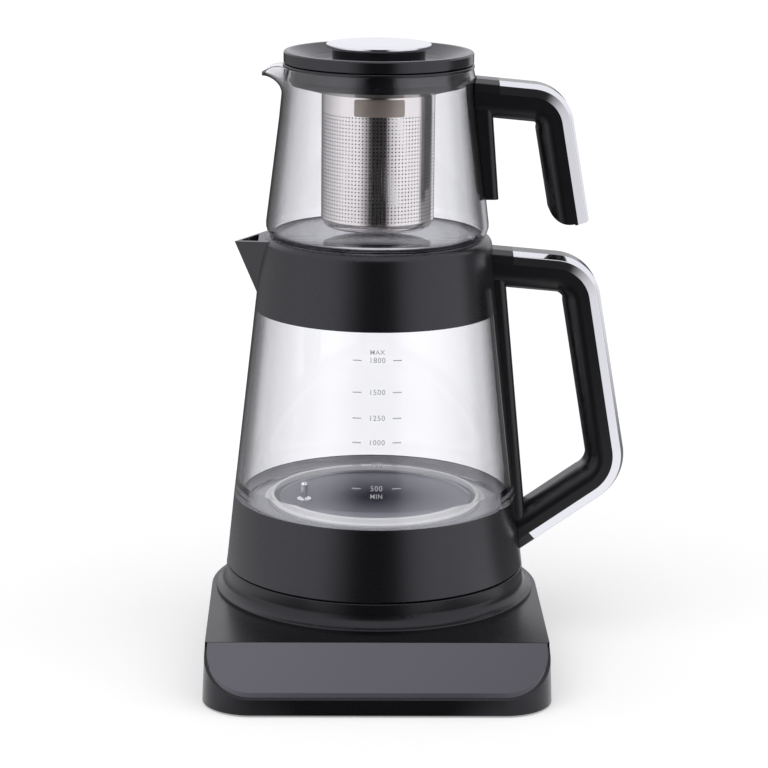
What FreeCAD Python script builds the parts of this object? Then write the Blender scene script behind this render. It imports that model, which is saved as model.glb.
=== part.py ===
"""Automatic tea maker: power base, glass kettle, glass teapot, infuser and lid.

Frame: the origin is on the kettle's axis, at the level that the feet stand on.
+Z is up, the spouts point to -X, the handles to +X, the touch panel faces -Y.
"""
import FreeCAD, Part
import math
import operator
import os
import Sketcher

Vector = FreeCAD.Vector

# Driving sizes in millimetres: name, value, meaning
SIZES = (
    ("lift_gap", 0.3, "air between pieces that lift or turn apart"),
    ("fit_gap", 0.1, "air between pieces that are fixed together"),
    # power base: housing
    ("base_border", 10.3, "pedestal to the base's side, level with the kettle's axis"),
    ("base_front_taper", 0.2, "base narrower at its front, each side"),
    ("base_front_reach", 142.0, "kettle's axis to the base's front face"),
    ("base_back_flat", 1.0, "half of the straight between the back roundings"),
    ("base_corner_radius", 28.0, "rounding of the base's front corners in plan"),
    ("base_height", 31.5, "housing, lower edge to flat top"),
    ("base_lean", 1.4, "base's sides come in by this much up to the flat top"),
    ("base_wall", 2.5, "wall of the housing"),
    ("slope_run", 33.0, "panel's slope, level distance"),
    ("slope_drop", 20.1, "panel's slope, fall"),
    ("panel_thickness", 2.4, "thickness of the touch panel"),
    ("panel_border", 1.4, "housing left bare round the panel"),
    ("pedestal_rise", 15.3, "pedestal above the flat top"),
    ("pedestal_border", 0.2, "pedestal beyond the kettle's lower edge"),
    ("plinth_reach", 6.0, "edge of the pedestal's foot beyond its top"),
    ("plinth_rise", 1.7, "that edge above the flat top"),
    ("plinth_round", 0.9, "rounding of that edge"),
    ("flare_step", 0.3, "corner that the flare is rounded about, beyond the pedestal"),
    ("flare_drop", 11.8, "that corner below the pedestal's top"),
    ("flare_round", 7.2, "hollow of the flare"),
    # power base: underside
    ("foot_height", 2.4, "rubber feet, the table to the bottom cover"),
    ("cover_recess", 1.2, "bottom cover above the housing's lower edge"),
    ("cover_thickness", 2.2, "thickness of the base's bottom cover"),
    ("foot_radius", 9.0, "rubber foot"),
    ("foot_side_inset", 33.4, "feet in from the base's sides"),
    ("foot_back_inset", 50.4, "back feet in from the base's back"),
    ("foot_front_inset", 30.0, "front feet in from the base's front"),
    ("boss_radius", 4.0, "screw bosses of the housing"),
    ("boss_inset", 35.9, "back bosses in from the base's sides and back"),
    ("front_boss_inset", 12.0, "front bosses in from the base's sides"),
    ("front_boss_setback", 17.0, "front bosses behind the panel's back edge"),
    ("screw_radius", 1.5, "shank of the small screws"),
    ("screw_head_radius", 2.8, "head of the small screws"),
    ("screw_head_height", 1.6, "head of the small screws"),
    ("screw_length", 12.0, "shank of the small screws"),
    # power base: electrical pieces
    ("board_length", 96.0, "power board, left to right"),
    ("board_depth", 30.0, "power board, front to back"),
    ("board_thickness", 1.6, "both circuit boards"),
    ("board_setback", 6.0, "power board behind the panel's back edge"),
    ("board_post_radius", 3.0, "posts under the power board"),
    ("board_post_height", 4.4, "posts under the power board"),
    ("relay_length", 20.0, "relay"),
    ("relay_depth", 16.0, "relay"),
    ("relay_height", 14.5, "relay"),
    ("transformer_length", 24.0, "transformer"),
    ("transformer_depth", 20.0, "transformer"),
    ("transformer_height", 15.0, "transformer"),
    ("capacitor_radius", 6.0, "capacitor"),
    ("capacitor_height", 14.0, "capacitor"),
    ("buzzer_radius", 6.0, "buzzer"),
    ("buzzer_height", 7.0, "buzzer"),
    ("touch_board_length", 140.0, "touch board, left to right"),
    ("touch_board_depth", 16.0, "touch board, along the slope"),
    ("touch_board_start", 10.0, "panel's back edge to the touch board, along the slope"),
    ("key_spring_length", 4.2, "touch key springs, panel to board"),
    ("key_spring_radius", 4.0, "touch key springs"),
    ("key_spring_wall", 1.4, "wall of the touch key springs"),
    ("key_pitch", 26.0, "distance between the keys"),
    # coupler between base and kettle
    ("coupler_radius", 18.5, "upright half of the coupler"),
    ("coupler_flange_width", 7.5, "flange under the pedestal's plate"),
    ("coupler_rise", 10.0, "upright half above the pedestal"),
    ("groove_border", 5.5, "contact groove in from the coupler's outside"),
    ("groove_width", 5.0, "contact groove"),
    ("groove_depth", 9.0, "contact groove"),
    ("contact_wall", 0.8, "brass contact rings"),
    ("contact_pin_radius", 2.2, "contact pin in the middle"),
    ("contact_pin_rise", 4.0, "contact pin above the coupler"),
    ("socket_wall", 6.7, "wall of the kettle's coupler socket"),
    ("socket_roof", 1.9, "socket above the contact pin"),
    ("socket_flange_width", 3.0, "flange that carries the socket"),
    ("gland_wall", 2.6, "wall of the cord gland"),
    ("gland_bore", 3.4, "hole of the cord gland"),
    ("gland_rise", 12.8, "cord gland above the housing's lower edge"),
    ("gland_lip", 1.5, "lip of the cord gland"),
    # kettle: base shell and glass
    ("kettle_bottom_radius", 88.0, "base shell at its lower edge"),
    ("shell_height", 42.4, "base shell"),
    ("shell_lean", 4.4, "base shell comes in by this much up to its edge"),
    ("shell_wall", 2.6, "wall of the base shell"),
    ("shell_ledge_gap", 9.5, "ledge's inside beyond the opening in the glass floor"),
    ("shell_ledge_thickness", 2.7, "thickness of the ledge that carries the glass"),
    ("glass_height", 111.7, "glass between the base shell and the collar"),
    ("glass_lean", 12.4, "glass comes in by this much up to the collar"),
    ("glass_wall", 3.0, "wall of the kettle's glass"),
    ("glass_relief", 1.6, "glass stepped in behind the collar and the shell"),
    ("glass_in_collar", 25.6, "glass that stands inside the collar"),
    ("glass_in_shell", 7.7, "glass that stands inside the base shell"),
    ("glass_floor_thickness", 3.0, "thickness of the glass floor"),
    ("glass_floor_width", 20.3, "glass floor, from the shell's edge to its opening"),
    ("glass_corner_inset", 4.4, "inside corner of the glass, from the shell's edge"),
    ("glass_corner_round", 5.5, "rounding of that corner"),
    ("glass_straight_inset", 4.1, "inside of the glass above that corner"),
    ("glass_straight_rise", 9.3, "where the inside starts to follow the outside"),
    # kettle: heater
    ("heater_step", 1.0, "heater plate above the glass floor"),
    ("heater_rim", 3.9, "heater plate, edge to flat middle"),
    ("heater_thickness", 0.8, "sheet of the heater plate"),
    ("heater_bead", 0.7, "rounded rim of the heater plate"),
    ("heater_seal_width", 3.6, "heater seal between the plate and the glass floor"),
    ("heater_seal_hold", 2.2, "heater seal over the glass floor"),
    ("heater_seal_lip", 1.0, "lips of the heater seal"),
    ("clamp_reach", 5.3, "clamp ring beyond the heater seal"),
    ("clamp_hold", 3.4, "clamp ring under the heater plate"),
    ("clamp_thickness", 1.5, "thickness of the clamp ring"),
    ("diffuser_radius", 37.0, "heat diffuser"),
    ("diffuser_thickness", 3.0, "heat diffuser"),
    ("element_inset", 7.0, "heating element's centre line in from the diffuser's edge"),
    ("element_tube_radius", 3.2, "heating element, tube"),
    ("element_sweep", 310.0, "heating element, degrees of a full turn"),
    ("control_overhang", 0.5, "thermal control beyond the socket"),
    ("control_thickness", 7.0, "thermal control"),
    ("control_stud_radius", 2.5, "studs of the thermal control"),
    ("control_stud_inset", 9.0, "studs in from the thermal control's edge"),
    ("probe_offset", 5.0, "temperature probe beyond the diffuser, towards the spout"),
    ("probe_front_reach", 7.6, "temperature probe in front of the axis"),
    ("probe_radius", 2.0, "temperature probe"),
    ("probe_height", 11.0, "temperature probe above the plate"),
    ("probe_flange_width", 2.3, "flange of the probe"),
    ("probe_flange_thickness", 1.2, "flange of the probe"),
    ("probe_tail_radius", 2.6, "threaded tail of the probe"),
    ("probe_tail_length", 7.0, "threaded tail of the probe"),
    ("probe_nut_width", 2.4, "nut under the probe, tail to corners"),
    ("probe_nut_height", 3.2, "nut under the probe"),
    ("kettle_cover_inset", 0.6, "kettle's bottom cover above its lower edge"),
    ("kettle_cover_thickness", 2.4, "kettle's bottom cover"),
    ("kettle_boss_radius", 4.5, "screw posts of the kettle's bottom cover"),
    # kettle: collar and spout
    ("collar_height", 43.1, "collar"),
    ("collar_shoulder", 5.0, "rounding of the collar's shoulder"),
    ("collar_skirt", 1.5, "collar's wall outside the glass"),
    ("collar_thickness", 5.1, "collar's top"),
    ("collar_lip_drop", 3.9, "drip lip round the opening"),
    ("collar_lip_thickness", 2.2, "drip lip round the opening"),
    ("collar_seal_thickness", 1.6, "seal over the glass rim"),
    ("seat_depth", 2.1, "recess round the teapot's foot"),
    ("seat_border", 3.9, "that recess in from the collar's outside"),
    ("seat_width", 8.8, "seat that the teapot stands on"),
    ("spout_root_rise", 8.6, "where the spout leaves the collar, above its lower edge"),
    ("spout_tip_drop", 4.6, "tip of the spout below the collar's top"),
    ("spout_length", 16.6, "spout beyond the collar's outside"),
    ("spout_rim_drop", 1.9, "spout's rim where it meets the collar, below the top"),
    ("spout_base_inset", 2.8, "widest section of the spout, in from the seat's edge"),
    ("spout_flare", 0.93, "half width gained per millimetre of reach"),
    ("spout_wall", 2.2, "wall of the spout"),
    # handles: one section for both
    ("handle_depth", 28.0, "handle, front to back"),
    ("handle_crown", 14.0, "flat middle of the handle's outer face"),
    ("handle_bevel_drop", 2.0, "fall of the bevels beside it"),
    ("handle_side_lean", 1.0, "the trim's sides come in by this much up to the bevels"),
    ("handle_thickness", 22.0, "handle, outer to inner face"),
    ("handle_round", 9.5, "rounding of the inner face"),
    ("trim_depth", 7.0, "chrome trim, down the handle's sides"),
    ("trim_wall", 1.4, "chrome trim, wall"),
    ("inlay_thickness", 1.2, "inlay in the trim"),
    ("strap_depth", 26.0, "strap along the vessel, front to back"),
    ("strap_round", 3.5, "rounding of the strap's outer corners"),
    # kettle handle
    ("kettle_arm_length", 60.3, "collar's outside to the corner of the upper bend"),
    ("kettle_arm_drop", 12.3, "that corner below the collar's top"),
    ("kettle_arm_slope", 0.087, "fall of the upper arm per millimetre"),
    ("kettle_upper_bend", 28.0, "radius of the upper bend"),
    ("kettle_grip_lean", 23.0, "grip moves out by this much, upper to lower corner"),
    ("kettle_elbow_rise", 10.2, "corner of the lower bend above the shell's edge"),
    ("kettle_lower_bend", 31.0, "radius of the lower bend"),
    ("kettle_root_slope", 0.698, "fall of the lower arm per millimetre"),
    ("kettle_root_sink", 9.4, "inner end of the lower arm, behind the strap"),
    ("kettle_trim_gap", 12.3, "collar's outside to the upper end of the trim"),
    ("kettle_trim_stop", 7.8, "shell's lower edge to the lower end of the trim"),
    ("kettle_strap_rise", 13.7, "lower end of the strap above the kettle's lower edge"),
    ("kettle_strap_drop", 19.5, "upper end of the strap below the collar's top"),
    ("kettle_strap_low_wall", 4.1, "strap's thickness at its lower end"),
    ("kettle_strap_high_wall", 5.6, "strap's thickness at its upper end"),
    # teapot
    ("teapot_foot_overhang", 3.1, "corner of the teapot's foot beyond the seat's edge"),
    ("teapot_foot_round", 8.5, "rounding of that corner"),
    ("teapot_body_height", 70.3, "underside to where the neck begins"),
    ("teapot_body_lean", 8.6, "teapot comes in by this much up to there"),
    ("teapot_shoulder_round", 30.0, "rounding of the bends below the neck"),
    ("teapot_neck_rise", 14.0, "bend up to the straight neck"),
    ("teapot_neck_lean", 1.2, "teapot comes in by this much up to the neck"),
    ("teapot_neck_height", 9.5, "straight neck"),
    ("teapot_mouth_height", 5.9, "turned-in mouth above the neck"),
    ("teapot_mouth_lean", 1.3, "mouth comes in by this much"),
    ("teapot_mouth_round", 8.0, "rounding where the mouth turns in"),
    ("teapot_wall", 2.7, "wall of the teapot's glass"),
    ("teapot_floor", 3.2, "bottom of the teapot's glass"),
    ("lip_drop", 13.8, "pouring lip's root below the rim"),
    ("lip_length", 11.4, "pouring lip beyond the neck"),
    ("lip_tip_drop", 5.8, "tip of the lip below the rim"),
    ("lip_crest_rise", 0.7, "crest of the lip above the rim"),
    ("lip_half_width", 13.5, "half of the pouring lip where it starts inside the neck"),
    ("lip_wall", 2.2, "glass of the lip"),
    # teapot handle
    ("teapot_arm_length", 53.0, "neck to the corner of the bend"),
    ("teapot_arm_drop", 10.4, "that corner below the teapot's rim"),
    ("teapot_arm_slope", 0.09, "fall of the arm per millimetre"),
    ("teapot_bend", 25.0, "radius of the bend"),
    ("teapot_grip_lean", 13.8, "grip moves out by this much down to its end"),
    ("teapot_grip_rise", 12.3, "end of the grip above the teapot's underside"),
    ("teapot_trim_gap", 13.1, "neck to the upper end of the trim"),
    ("teapot_strap_rise", 24.6, "lower end of the strap above the teapot's underside"),
    ("teapot_strap_drop", 17.4, "upper end of the strap below the rim"),
    ("teapot_strap_low_wall", 7.1, "strap's thickness at its lower end"),
    ("teapot_strap_high_wall", 9.1, "strap's thickness at its upper end"),
    ("bond_thickness", 0.5, "bond between strap and glass"),
    ("grip_end_round", 12.0, "rounding of the hook's lower corner"),
    # infuser
    ("holder_skirt_gap", 1.5, "air between the holder's skirt and the teapot's mouth"),
    ("holder_skirt_wall", 2.0, "wall of the holder's skirt"),
    ("holder_overhang", 0.6, "holder's flange beyond the teapot's rim"),
    ("holder_flange_thickness", 1.4, "holder's flange"),
    ("holder_recess_depth", 7.0, "recess for the lid, below the teapot's rim"),
    ("holder_funnel_depth", 4.4, "funnel below that recess"),
    ("holder_wall", 2.4, "wall of the funnel"),
    ("infuser_seal_reach", 1.2, "seal beyond the holder's skirt"),
    ("basket_inset", 15.6, "basket in from the holder's inside"),
    ("basket_depth", 81.0, "basket below the ledge that carries it"),
    ("basket_corner", 5.0, "rounding of the basket's bottom"),
    ("basket_sheet", 0.6, "sheet of the basket"),
    ("basket_flange_width", 2.6, "flange of the basket"),
    # lid
    ("lid_inset", 0.4, "lid's edge in from the holder's edge"),
    ("lid_plug_gap", 2.6, "air between the lid's plug and the holder"),
    ("lid_plug_depth", 7.4, "lid's plug below the cover"),
    ("lid_seal_reach", 2.3, "lid seal beyond the plug"),
    ("lid_seal_thickness", 1.6, "lid seal"),
    ("lid_height", 7.0, "lid's cover"),
    ("lid_rim_width", 3.0, "flat of the lid's rim"),
    ("lid_dish_inset", 15.0, "foot of the dished slope in from the lid's edge"),
    ("lid_plate", 1.5, "lid's cover inside the dish"),
    ("knob_radius", 26.8, "knob stem"),
    ("knob_rise", 1.4, "knob stem above the lid's rim"),
    ("knob_cap_overhang", 3.5, "knob cap beyond the stem"),
    ("knob_cap_edge", 2.8, "edge of the knob cap"),
    ("knob_cap_round", 1.6, "rounding of that edge, underneath"),
    ("knob_cap_dome", 0.5, "rise of the cap's dome"),
)


class Size:
    """A length that knows its number and the formula that gives it."""

    def __init__(self, number, formula):
        self.number = number
        self.formula = formula

    def __add__(self, other):
        return join(self, "+", other)

    def __radd__(self, other):
        return join(other, "+", self)

    def __sub__(self, other):
        return join(self, "-", other)

    def __rsub__(self, other):
        return join(other, "-", self)

    def __mul__(self, other):
        return join(self, "*", other)

    def __rmul__(self, other):
        return join(other, "*", self)

    def __truediv__(self, other):
        return join(self, "/", other)

    def __neg__(self):
        return join(0, "-", self)


OPERATIONS = {"+": operator.add, "-": operator.sub, "*": operator.mul, "/": operator.truediv}


def as_size(value):
    """A plain number becomes a size whose formula is that number."""
    if isinstance(value, Size):
        return value
    return Size(float(value), "%.6g" % value)


def join(left, sign, right):
    left = as_size(left)
    right = as_size(right)
    number = OPERATIONS[sign](left.number, right.number)
    return Size(number, "(%s %s %s)" % (left.formula, sign, right.formula))


def root(value):
    return Size(math.sqrt(value.number), "sqrt(%s)" % value.formula)


def slant(value):
    """The angle whose slope is the value, in degrees."""
    return Size(math.degrees(math.atan(value.number)), "atan(%s)" % value.formula)


class Sheet:
    """The spreadsheet of driving sizes; an attribute of it is a Size.

    Levels and radii that follow from those are set on it further down.
    """

    def __init__(self, document, rows):
        self.cells = document.addObject("Spreadsheet::Sheet", "Sizes")
        for row, (name, value, meaning) in enumerate(rows, start=1):
            self.cells.set("A%d" % row, name)
            self.cells.set("B%d" % row, str(value))
            self.cells.set("C%d" % row, meaning)
            self.cells.setAlias("B%d" % row, name)
        document.recompute()

    def __getattr__(self, name):
        return Size(float(self.cells.get(name)), "Sizes." + name)


doc = FreeCAD.newDocument("TeaMaker")
size = Sheet(doc, SIZES)
pieces = []


# ----------------------------- levels and radii that follow from the sizes

# levels of the power base, from the table up
size.cover_bottom = size.foot_height
size.cover_top = size.cover_bottom + size.cover_thickness
size.base_underside = size.cover_bottom - size.cover_recess
size.base_top = size.base_underside + size.base_height
size.pedestal_top = size.base_top + size.pedestal_rise
size.plinth_top = size.base_top + size.plinth_rise
size.flare_height = size.pedestal_top - size.flare_drop
size.board_height = size.cover_top + size.board_post_height
size.gland_height = size.base_underside + size.gland_rise
size.coupler_height = size.pedestal_top + size.coupler_rise
size.contact_pin_top = size.coupler_height + size.contact_pin_rise
size.socket_top = size.contact_pin_top + size.lift_gap * 2 + size.socket_roof

# reaches of the power base
size.pedestal_radius = size.kettle_bottom_radius + size.pedestal_border
size.plinth_radius = size.pedestal_radius + size.plinth_reach
size.flare_radius = size.pedestal_radius + size.flare_step
size.base_half_width = size.pedestal_radius + size.base_border
size.base_front_half_width = size.base_half_width - size.base_front_taper
size.base_back_radius = size.base_half_width - size.base_back_flat
size.panel_back_reach = size.base_front_reach - size.slope_run
size.coupler_flange_radius = size.coupler_radius + size.coupler_flange_width
size.groove_outer = size.coupler_radius - size.groove_border
size.groove_inner = size.groove_outer - size.groove_width
size.socket_radius = size.coupler_radius + size.lift_gap + size.socket_wall
size.socket_flange_radius = size.socket_radius + size.socket_flange_width
size.gland_radius = size.gland_bore + size.gland_wall

# levels of the kettle
size.kettle_bottom = size.pedestal_top + size.lift_gap
size.shell_top = size.kettle_bottom + size.shell_height
size.collar_bottom = size.shell_top + size.glass_height
size.collar_top = size.collar_bottom + size.collar_height
size.collar_ceiling = size.collar_top - size.collar_thickness
size.collar_lip_bottom = size.collar_ceiling - size.collar_lip_drop
size.seat_height = size.collar_top - size.seat_depth
size.glass_top = size.collar_bottom + size.glass_in_collar
size.glass_floor_bottom = size.shell_top - size.glass_in_shell
size.glass_floor_top = size.glass_floor_bottom + size.glass_floor_thickness
size.glass_straight_height = size.shell_top + size.glass_straight_rise
size.heater_top = size.glass_floor_top + size.heater_step

# radii of the kettle
size.shell_top_radius = size.kettle_bottom_radius - size.shell_lean
size.collar_bottom_radius = size.shell_top_radius - size.glass_lean
size.glass_floor_radius = size.shell_top_radius - size.glass_floor_width
size.glass_corner_radius = size.shell_top_radius - size.glass_corner_inset
size.glass_straight_radius = size.shell_top_radius - size.glass_straight_inset
size.shell_ledge_radius = size.glass_floor_radius + size.shell_ledge_gap
size.heater_edge_radius = size.glass_floor_radius - size.heater_seal_width
size.heater_radius = size.heater_edge_radius - size.heater_rim
size.heater_seal_radius = size.glass_floor_radius + size.heater_seal_hold
size.clamp_radius = size.heater_seal_radius + size.clamp_reach
size.clamp_inner_radius = size.heater_edge_radius - size.clamp_hold
size.element_radius = size.diffuser_radius - size.element_inset
size.control_radius = size.socket_radius + size.control_overhang
size.control_stud_reach = size.control_radius - size.control_stud_inset
size.probe_side_reach = size.diffuser_radius + size.probe_offset
size.probe_flange_radius = size.probe_radius + size.probe_flange_width
size.probe_nut_radius = size.probe_tail_radius + size.probe_nut_width

cone_slope = size.glass_lean / size.glass_height
shell_slope = size.shell_lean / size.shell_height


def kettle_radius(height):
    """Outside of the kettle's cone at a height, from the base shell's edge up."""
    return size.shell_top_radius - cone_slope * (height - size.shell_top)


def shell_radius(height):
    """Outside of the kettle's base shell at a height."""
    return size.kettle_bottom_radius - shell_slope * (height - size.kettle_bottom)


# collar, spout and kettle handle
collar_outside = kettle_radius(size.collar_top)
size.seat_outer_radius = collar_outside - size.seat_border
size.seat_inner_radius = size.seat_outer_radius - size.seat_width
size.spout_root_height = size.collar_bottom + size.spout_root_rise
size.spout_tip_height = size.collar_top - size.spout_tip_drop
size.spout_tip_reach = collar_outside + size.spout_length
size.spout_rim_height = size.collar_top - size.spout_rim_drop
size.spout_base_reach = size.seat_outer_radius - size.spout_base_inset
size.kettle_arm_reach = collar_outside + size.kettle_arm_length
size.kettle_arm_height = size.collar_top - size.kettle_arm_drop
size.kettle_elbow_reach = size.kettle_arm_reach + size.kettle_grip_lean
size.kettle_elbow_height = size.shell_top + size.kettle_elbow_rise
size.kettle_root_reach = size.kettle_bottom_radius - size.kettle_root_sink
size.kettle_trim_start = collar_outside + size.kettle_trim_gap
size.kettle_trim_end = size.kettle_bottom_radius + size.kettle_trim_stop
size.kettle_strap_low = size.kettle_bottom + size.kettle_strap_rise
size.kettle_strap_high = size.collar_top - size.kettle_strap_drop
size.kettle_strap_low_reach = shell_radius(size.kettle_strap_low) + size.kettle_strap_low_wall
size.kettle_strap_high_reach = kettle_radius(size.kettle_strap_high) + size.kettle_strap_high_wall

# teapot and its handle
size.teapot_bottom = size.seat_height + size.lift_gap
size.teapot_shoulder_height = size.teapot_bottom + size.teapot_body_height
size.teapot_neck_bottom = size.teapot_shoulder_height + size.teapot_neck_rise
size.teapot_neck_top = size.teapot_neck_bottom + size.teapot_neck_height
size.teapot_rim = size.teapot_neck_top + size.teapot_mouth_height
size.teapot_foot_radius = size.seat_outer_radius + size.teapot_foot_overhang
size.teapot_shoulder_radius = size.teapot_foot_radius - size.teapot_body_lean
size.teapot_neck_radius = size.teapot_shoulder_radius - size.teapot_neck_lean
size.teapot_mouth_radius = size.teapot_neck_radius - size.teapot_mouth_lean
size.lip_reach = size.teapot_neck_radius + size.lip_length
size.teapot_arm_reach = size.teapot_neck_radius + size.teapot_arm_length
size.teapot_arm_height = size.teapot_rim - size.teapot_arm_drop
size.teapot_grip_end_reach = size.teapot_arm_reach + size.teapot_grip_lean
size.teapot_grip_end_height = size.teapot_bottom + size.teapot_grip_rise
size.teapot_trim_start = size.teapot_neck_radius + size.teapot_trim_gap
size.teapot_strap_low = size.teapot_bottom + size.teapot_strap_rise
size.teapot_strap_high = size.teapot_rim - size.teapot_strap_drop

wall_slope = size.teapot_body_lean / size.teapot_body_height


def teapot_radius(height):
    """Outside of the teapot's wall at a height, below the neck."""
    return size.teapot_foot_radius - wall_slope * (height - size.teapot_bottom)


size.teapot_strap_low_reach = teapot_radius(size.teapot_strap_low) + size.teapot_strap_low_wall
size.teapot_strap_high_reach = size.teapot_neck_radius + size.teapot_strap_high_wall

# infuser and lid
size.holder_skirt_radius = size.teapot_mouth_radius - size.teapot_wall - size.holder_skirt_gap
size.holder_inner_radius = size.holder_skirt_radius - size.holder_skirt_wall
size.holder_flange_radius = size.teapot_mouth_radius + size.holder_overhang
size.holder_top = size.teapot_rim + size.lift_gap + size.holder_flange_thickness
size.holder_recess_bottom = size.teapot_rim - size.holder_recess_depth
size.holder_ledge_height = size.holder_recess_bottom - size.holder_funnel_depth
size.infuser_seal_radius = size.holder_skirt_radius + size.infuser_seal_reach
size.basket_radius = size.holder_inner_radius - size.basket_inset
size.basket_flange_radius = size.basket_radius + size.basket_flange_width
size.basket_bottom = size.holder_ledge_height - size.basket_depth
size.lid_joint = size.holder_top + size.lift_gap
size.lid_top = size.lid_joint + size.lid_height
size.lid_dish_height = size.lid_joint + size.lid_plate
size.lid_plug_bottom = size.lid_joint - size.lid_plug_depth
size.lid_radius = size.holder_flange_radius - size.lid_inset
size.lid_dish_radius = size.lid_radius - size.lid_dish_inset
size.lid_plug_radius = size.holder_inner_radius - size.lid_plug_gap
size.lid_seal_radius = size.lid_plug_radius + size.lid_seal_reach
size.knob_cap_bottom = size.lid_top + size.knob_rise
size.knob_cap_radius = size.knob_radius + size.knob_cap_overhang


# ---------------------------------------------------------------- helpers

def bind(thing, name, value):
    """Ties one property of an object to the sheet."""
    thing.setExpression(name, as_size(value).formula)


def new_body(label):
    return doc.addObject("PartDesign::Body", label)


def keep(piece):
    """Marks an object as a sub-part of its own, under its own label."""
    pieces.append(piece)
    return piece


def sketch_on(body, role, offset=0):
    """An empty sketch on one of the body's origin planes, moved along its normal."""
    plane = [item for item in body.Origin.OriginFeatures if item.Role == role][0]
    sketch = body.newObject("Sketcher::SketchObject", body.Label + "_sketch")
    sketch.AttachmentSupport = [(plane, "")]
    sketch.MapMode = "FlatFace"
    height = as_size(offset)
    sketch.AttachmentOffset = FreeCAD.Placement(Vector(0, 0, height.number), FreeCAD.Rotation())
    bind(sketch, "AttachmentOffset.Base.z", height)
    return sketch


def measure(sketch, kind, first, second, value):
    """Adds a dimension between two sketch points and ties it to the sheet."""
    index = sketch.addConstraint(Sketcher.Constraint(kind, *first, *second, value.number))
    bind(sketch, "Constraints[%d]" % index, value)


def pin_point(sketch, point, x, y):
    """Fixes a sketch point at x, y from the sketch's origin."""
    for kind, value, axis in (("DistanceX", as_size(x), -2), ("DistanceY", as_size(y), -1)):
        if value.number == 0:
            sketch.addConstraint(Sketcher.Constraint("PointOnObject", *point, axis))
        elif value.number > 0:
            measure(sketch, kind, (-1, 1), point, value)
        else:
            measure(sketch, kind, point, (-1, 1), -value)


def round_corner(before, corner, after, radius):
    """Tangent points and centre of the arc that rounds a corner."""
    back = (before - corner).normalize()
    ahead = (after - corner).normalize()
    half = back.getAngle(ahead) / 2
    reach = radius / math.tan(half)
    middle = (back + ahead).normalize()
    return corner + back * reach, corner + ahead * reach, corner + middle * (radius / math.sin(half))


def draw(sketch, corners, closed=True):
    """Draws straight sides through the corners; a third value rounds that corner."""
    spots = [Vector(as_size(c[0]).number, as_size(c[1]).number, 0) for c in corners]
    count = len(corners)
    arcs = {}
    for i, corner in enumerate(corners):
        if len(corner) == 3:
            arcs[i] = round_corner(spots[i - 1], spots[i], spots[(i + 1) % count],
                                   as_size(corner[2]).number)
    lines = {}
    for i in range(count if closed else count - 1):
        j = (i + 1) % count
        start = arcs[i][1] if i in arcs else spots[i]
        end = arcs[j][0] if j in arcs else spots[j]
        lines[i] = sketch.addGeometry(Part.LineSegment(start, end), False)
    for i, corner in enumerate(corners):
        before = lines.get((i - 1) % count if closed else i - 1)
        after = lines.get(i)
        if i in arcs:
            join_with_arc(sketch, before, after, spots[i], arcs[i], corner)
        else:
            if before is not None and after is not None:
                sketch.addConstraint(Sketcher.Constraint("Coincident", before, 2, after, 1))
            point = (after, 1) if after is not None else (before, 2)
            pin_point(sketch, point, corner[0], corner[1])
    return sketch


def join_with_arc(sketch, before, after, spot, arc, corner):
    """Rounds the corner between two lines with a tangent arc of the given radius."""
    first, second, centre = arc
    radius = as_size(corner[2])
    turn = (first - centre).cross(second - centre).z
    start, end = (first, second) if turn > 0 else (second, first)
    low = math.atan2(start.y - centre.y, start.x - centre.x)
    high = math.atan2(end.y - centre.y, end.x - centre.x)
    if high < low:
        high += 2 * math.pi
    circle = Part.Circle(centre, Vector(0, 0, 1), radius.number)
    bow = sketch.addGeometry(Part.ArcOfCircle(circle, low, high), False)
    near, far = (1, 2) if turn > 0 else (2, 1)
    sketch.addConstraint(Sketcher.Constraint("Tangent", before, 2, bow, near))
    sketch.addConstraint(Sketcher.Constraint("Tangent", bow, far, after, 1))
    index = sketch.addConstraint(Sketcher.Constraint("Radius", bow, radius.number))
    bind(sketch, "Constraints[%d]" % index, radius)
    mark = sketch.addGeometry(Part.Point(spot), True)
    sketch.addConstraint(Sketcher.Constraint("PointOnObject", mark, 1, before))
    sketch.addConstraint(Sketcher.Constraint("PointOnObject", mark, 1, after))
    pin_point(sketch, (mark, 1), corner[0], corner[1])


def draw_circle(sketch, x, y, radius):
    radius = as_size(radius)
    middle = Vector(as_size(x).number, as_size(y).number, 0)
    ring = sketch.addGeometry(Part.Circle(middle, Vector(0, 0, 1), radius.number), False)
    index = sketch.addConstraint(Sketcher.Constraint("Radius", ring, radius.number))
    bind(sketch, "Constraints[%d]" % index, radius)
    pin_point(sketch, (ring, 3), x, y)
    return sketch


def extrude(body, sketch, length, cut=False, symmetric=False, reverse=False, taper=None):
    """Pads a sketch, or pockets it where cut is true; the taper is an angle."""
    kind = "Pocket" if cut else "Pad"
    feature = body.newObject("PartDesign::" + kind, body.Label + "_" + kind.lower())
    feature.Profile = (sketch, [""])
    feature.Type = "Length"
    if symmetric:
        feature.SideType = "Symmetric"
    feature.Reversed = reverse
    bind(feature, "Length", length)
    if taper is not None:
        bind(feature, "TaperAngle", taper)
    sketch.Visibility = False
    return feature


def revolve(body, sketch, cut=False, axis="V_Axis"):
    """Turns a sketch once round its own axis, to add to the body or cut it."""
    kind = "Groove" if cut else "Revolution"
    feature = body.newObject("PartDesign::" + kind, body.Label + "_" + kind.lower())
    feature.Profile = (sketch, [""])
    feature.ReferenceAxis = (sketch, [axis])
    feature.Angle = 360.0
    return feature


def turned(label, corners):
    """A sub-part that is one profile turned round the kettle's axis."""
    body = new_body(label)
    revolve(body, draw(sketch_on(body, "XZ_Plane"), corners))
    return keep(body)


def rod(label, radius, height, x, y, z):
    """An upright cylinder that stands at x, y, z."""
    solid = doc.addObject("Part::Cylinder", label)
    bind(solid, "Radius", radius)
    bind(solid, "Height", height)
    place(solid, x, y, z)
    return solid


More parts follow.
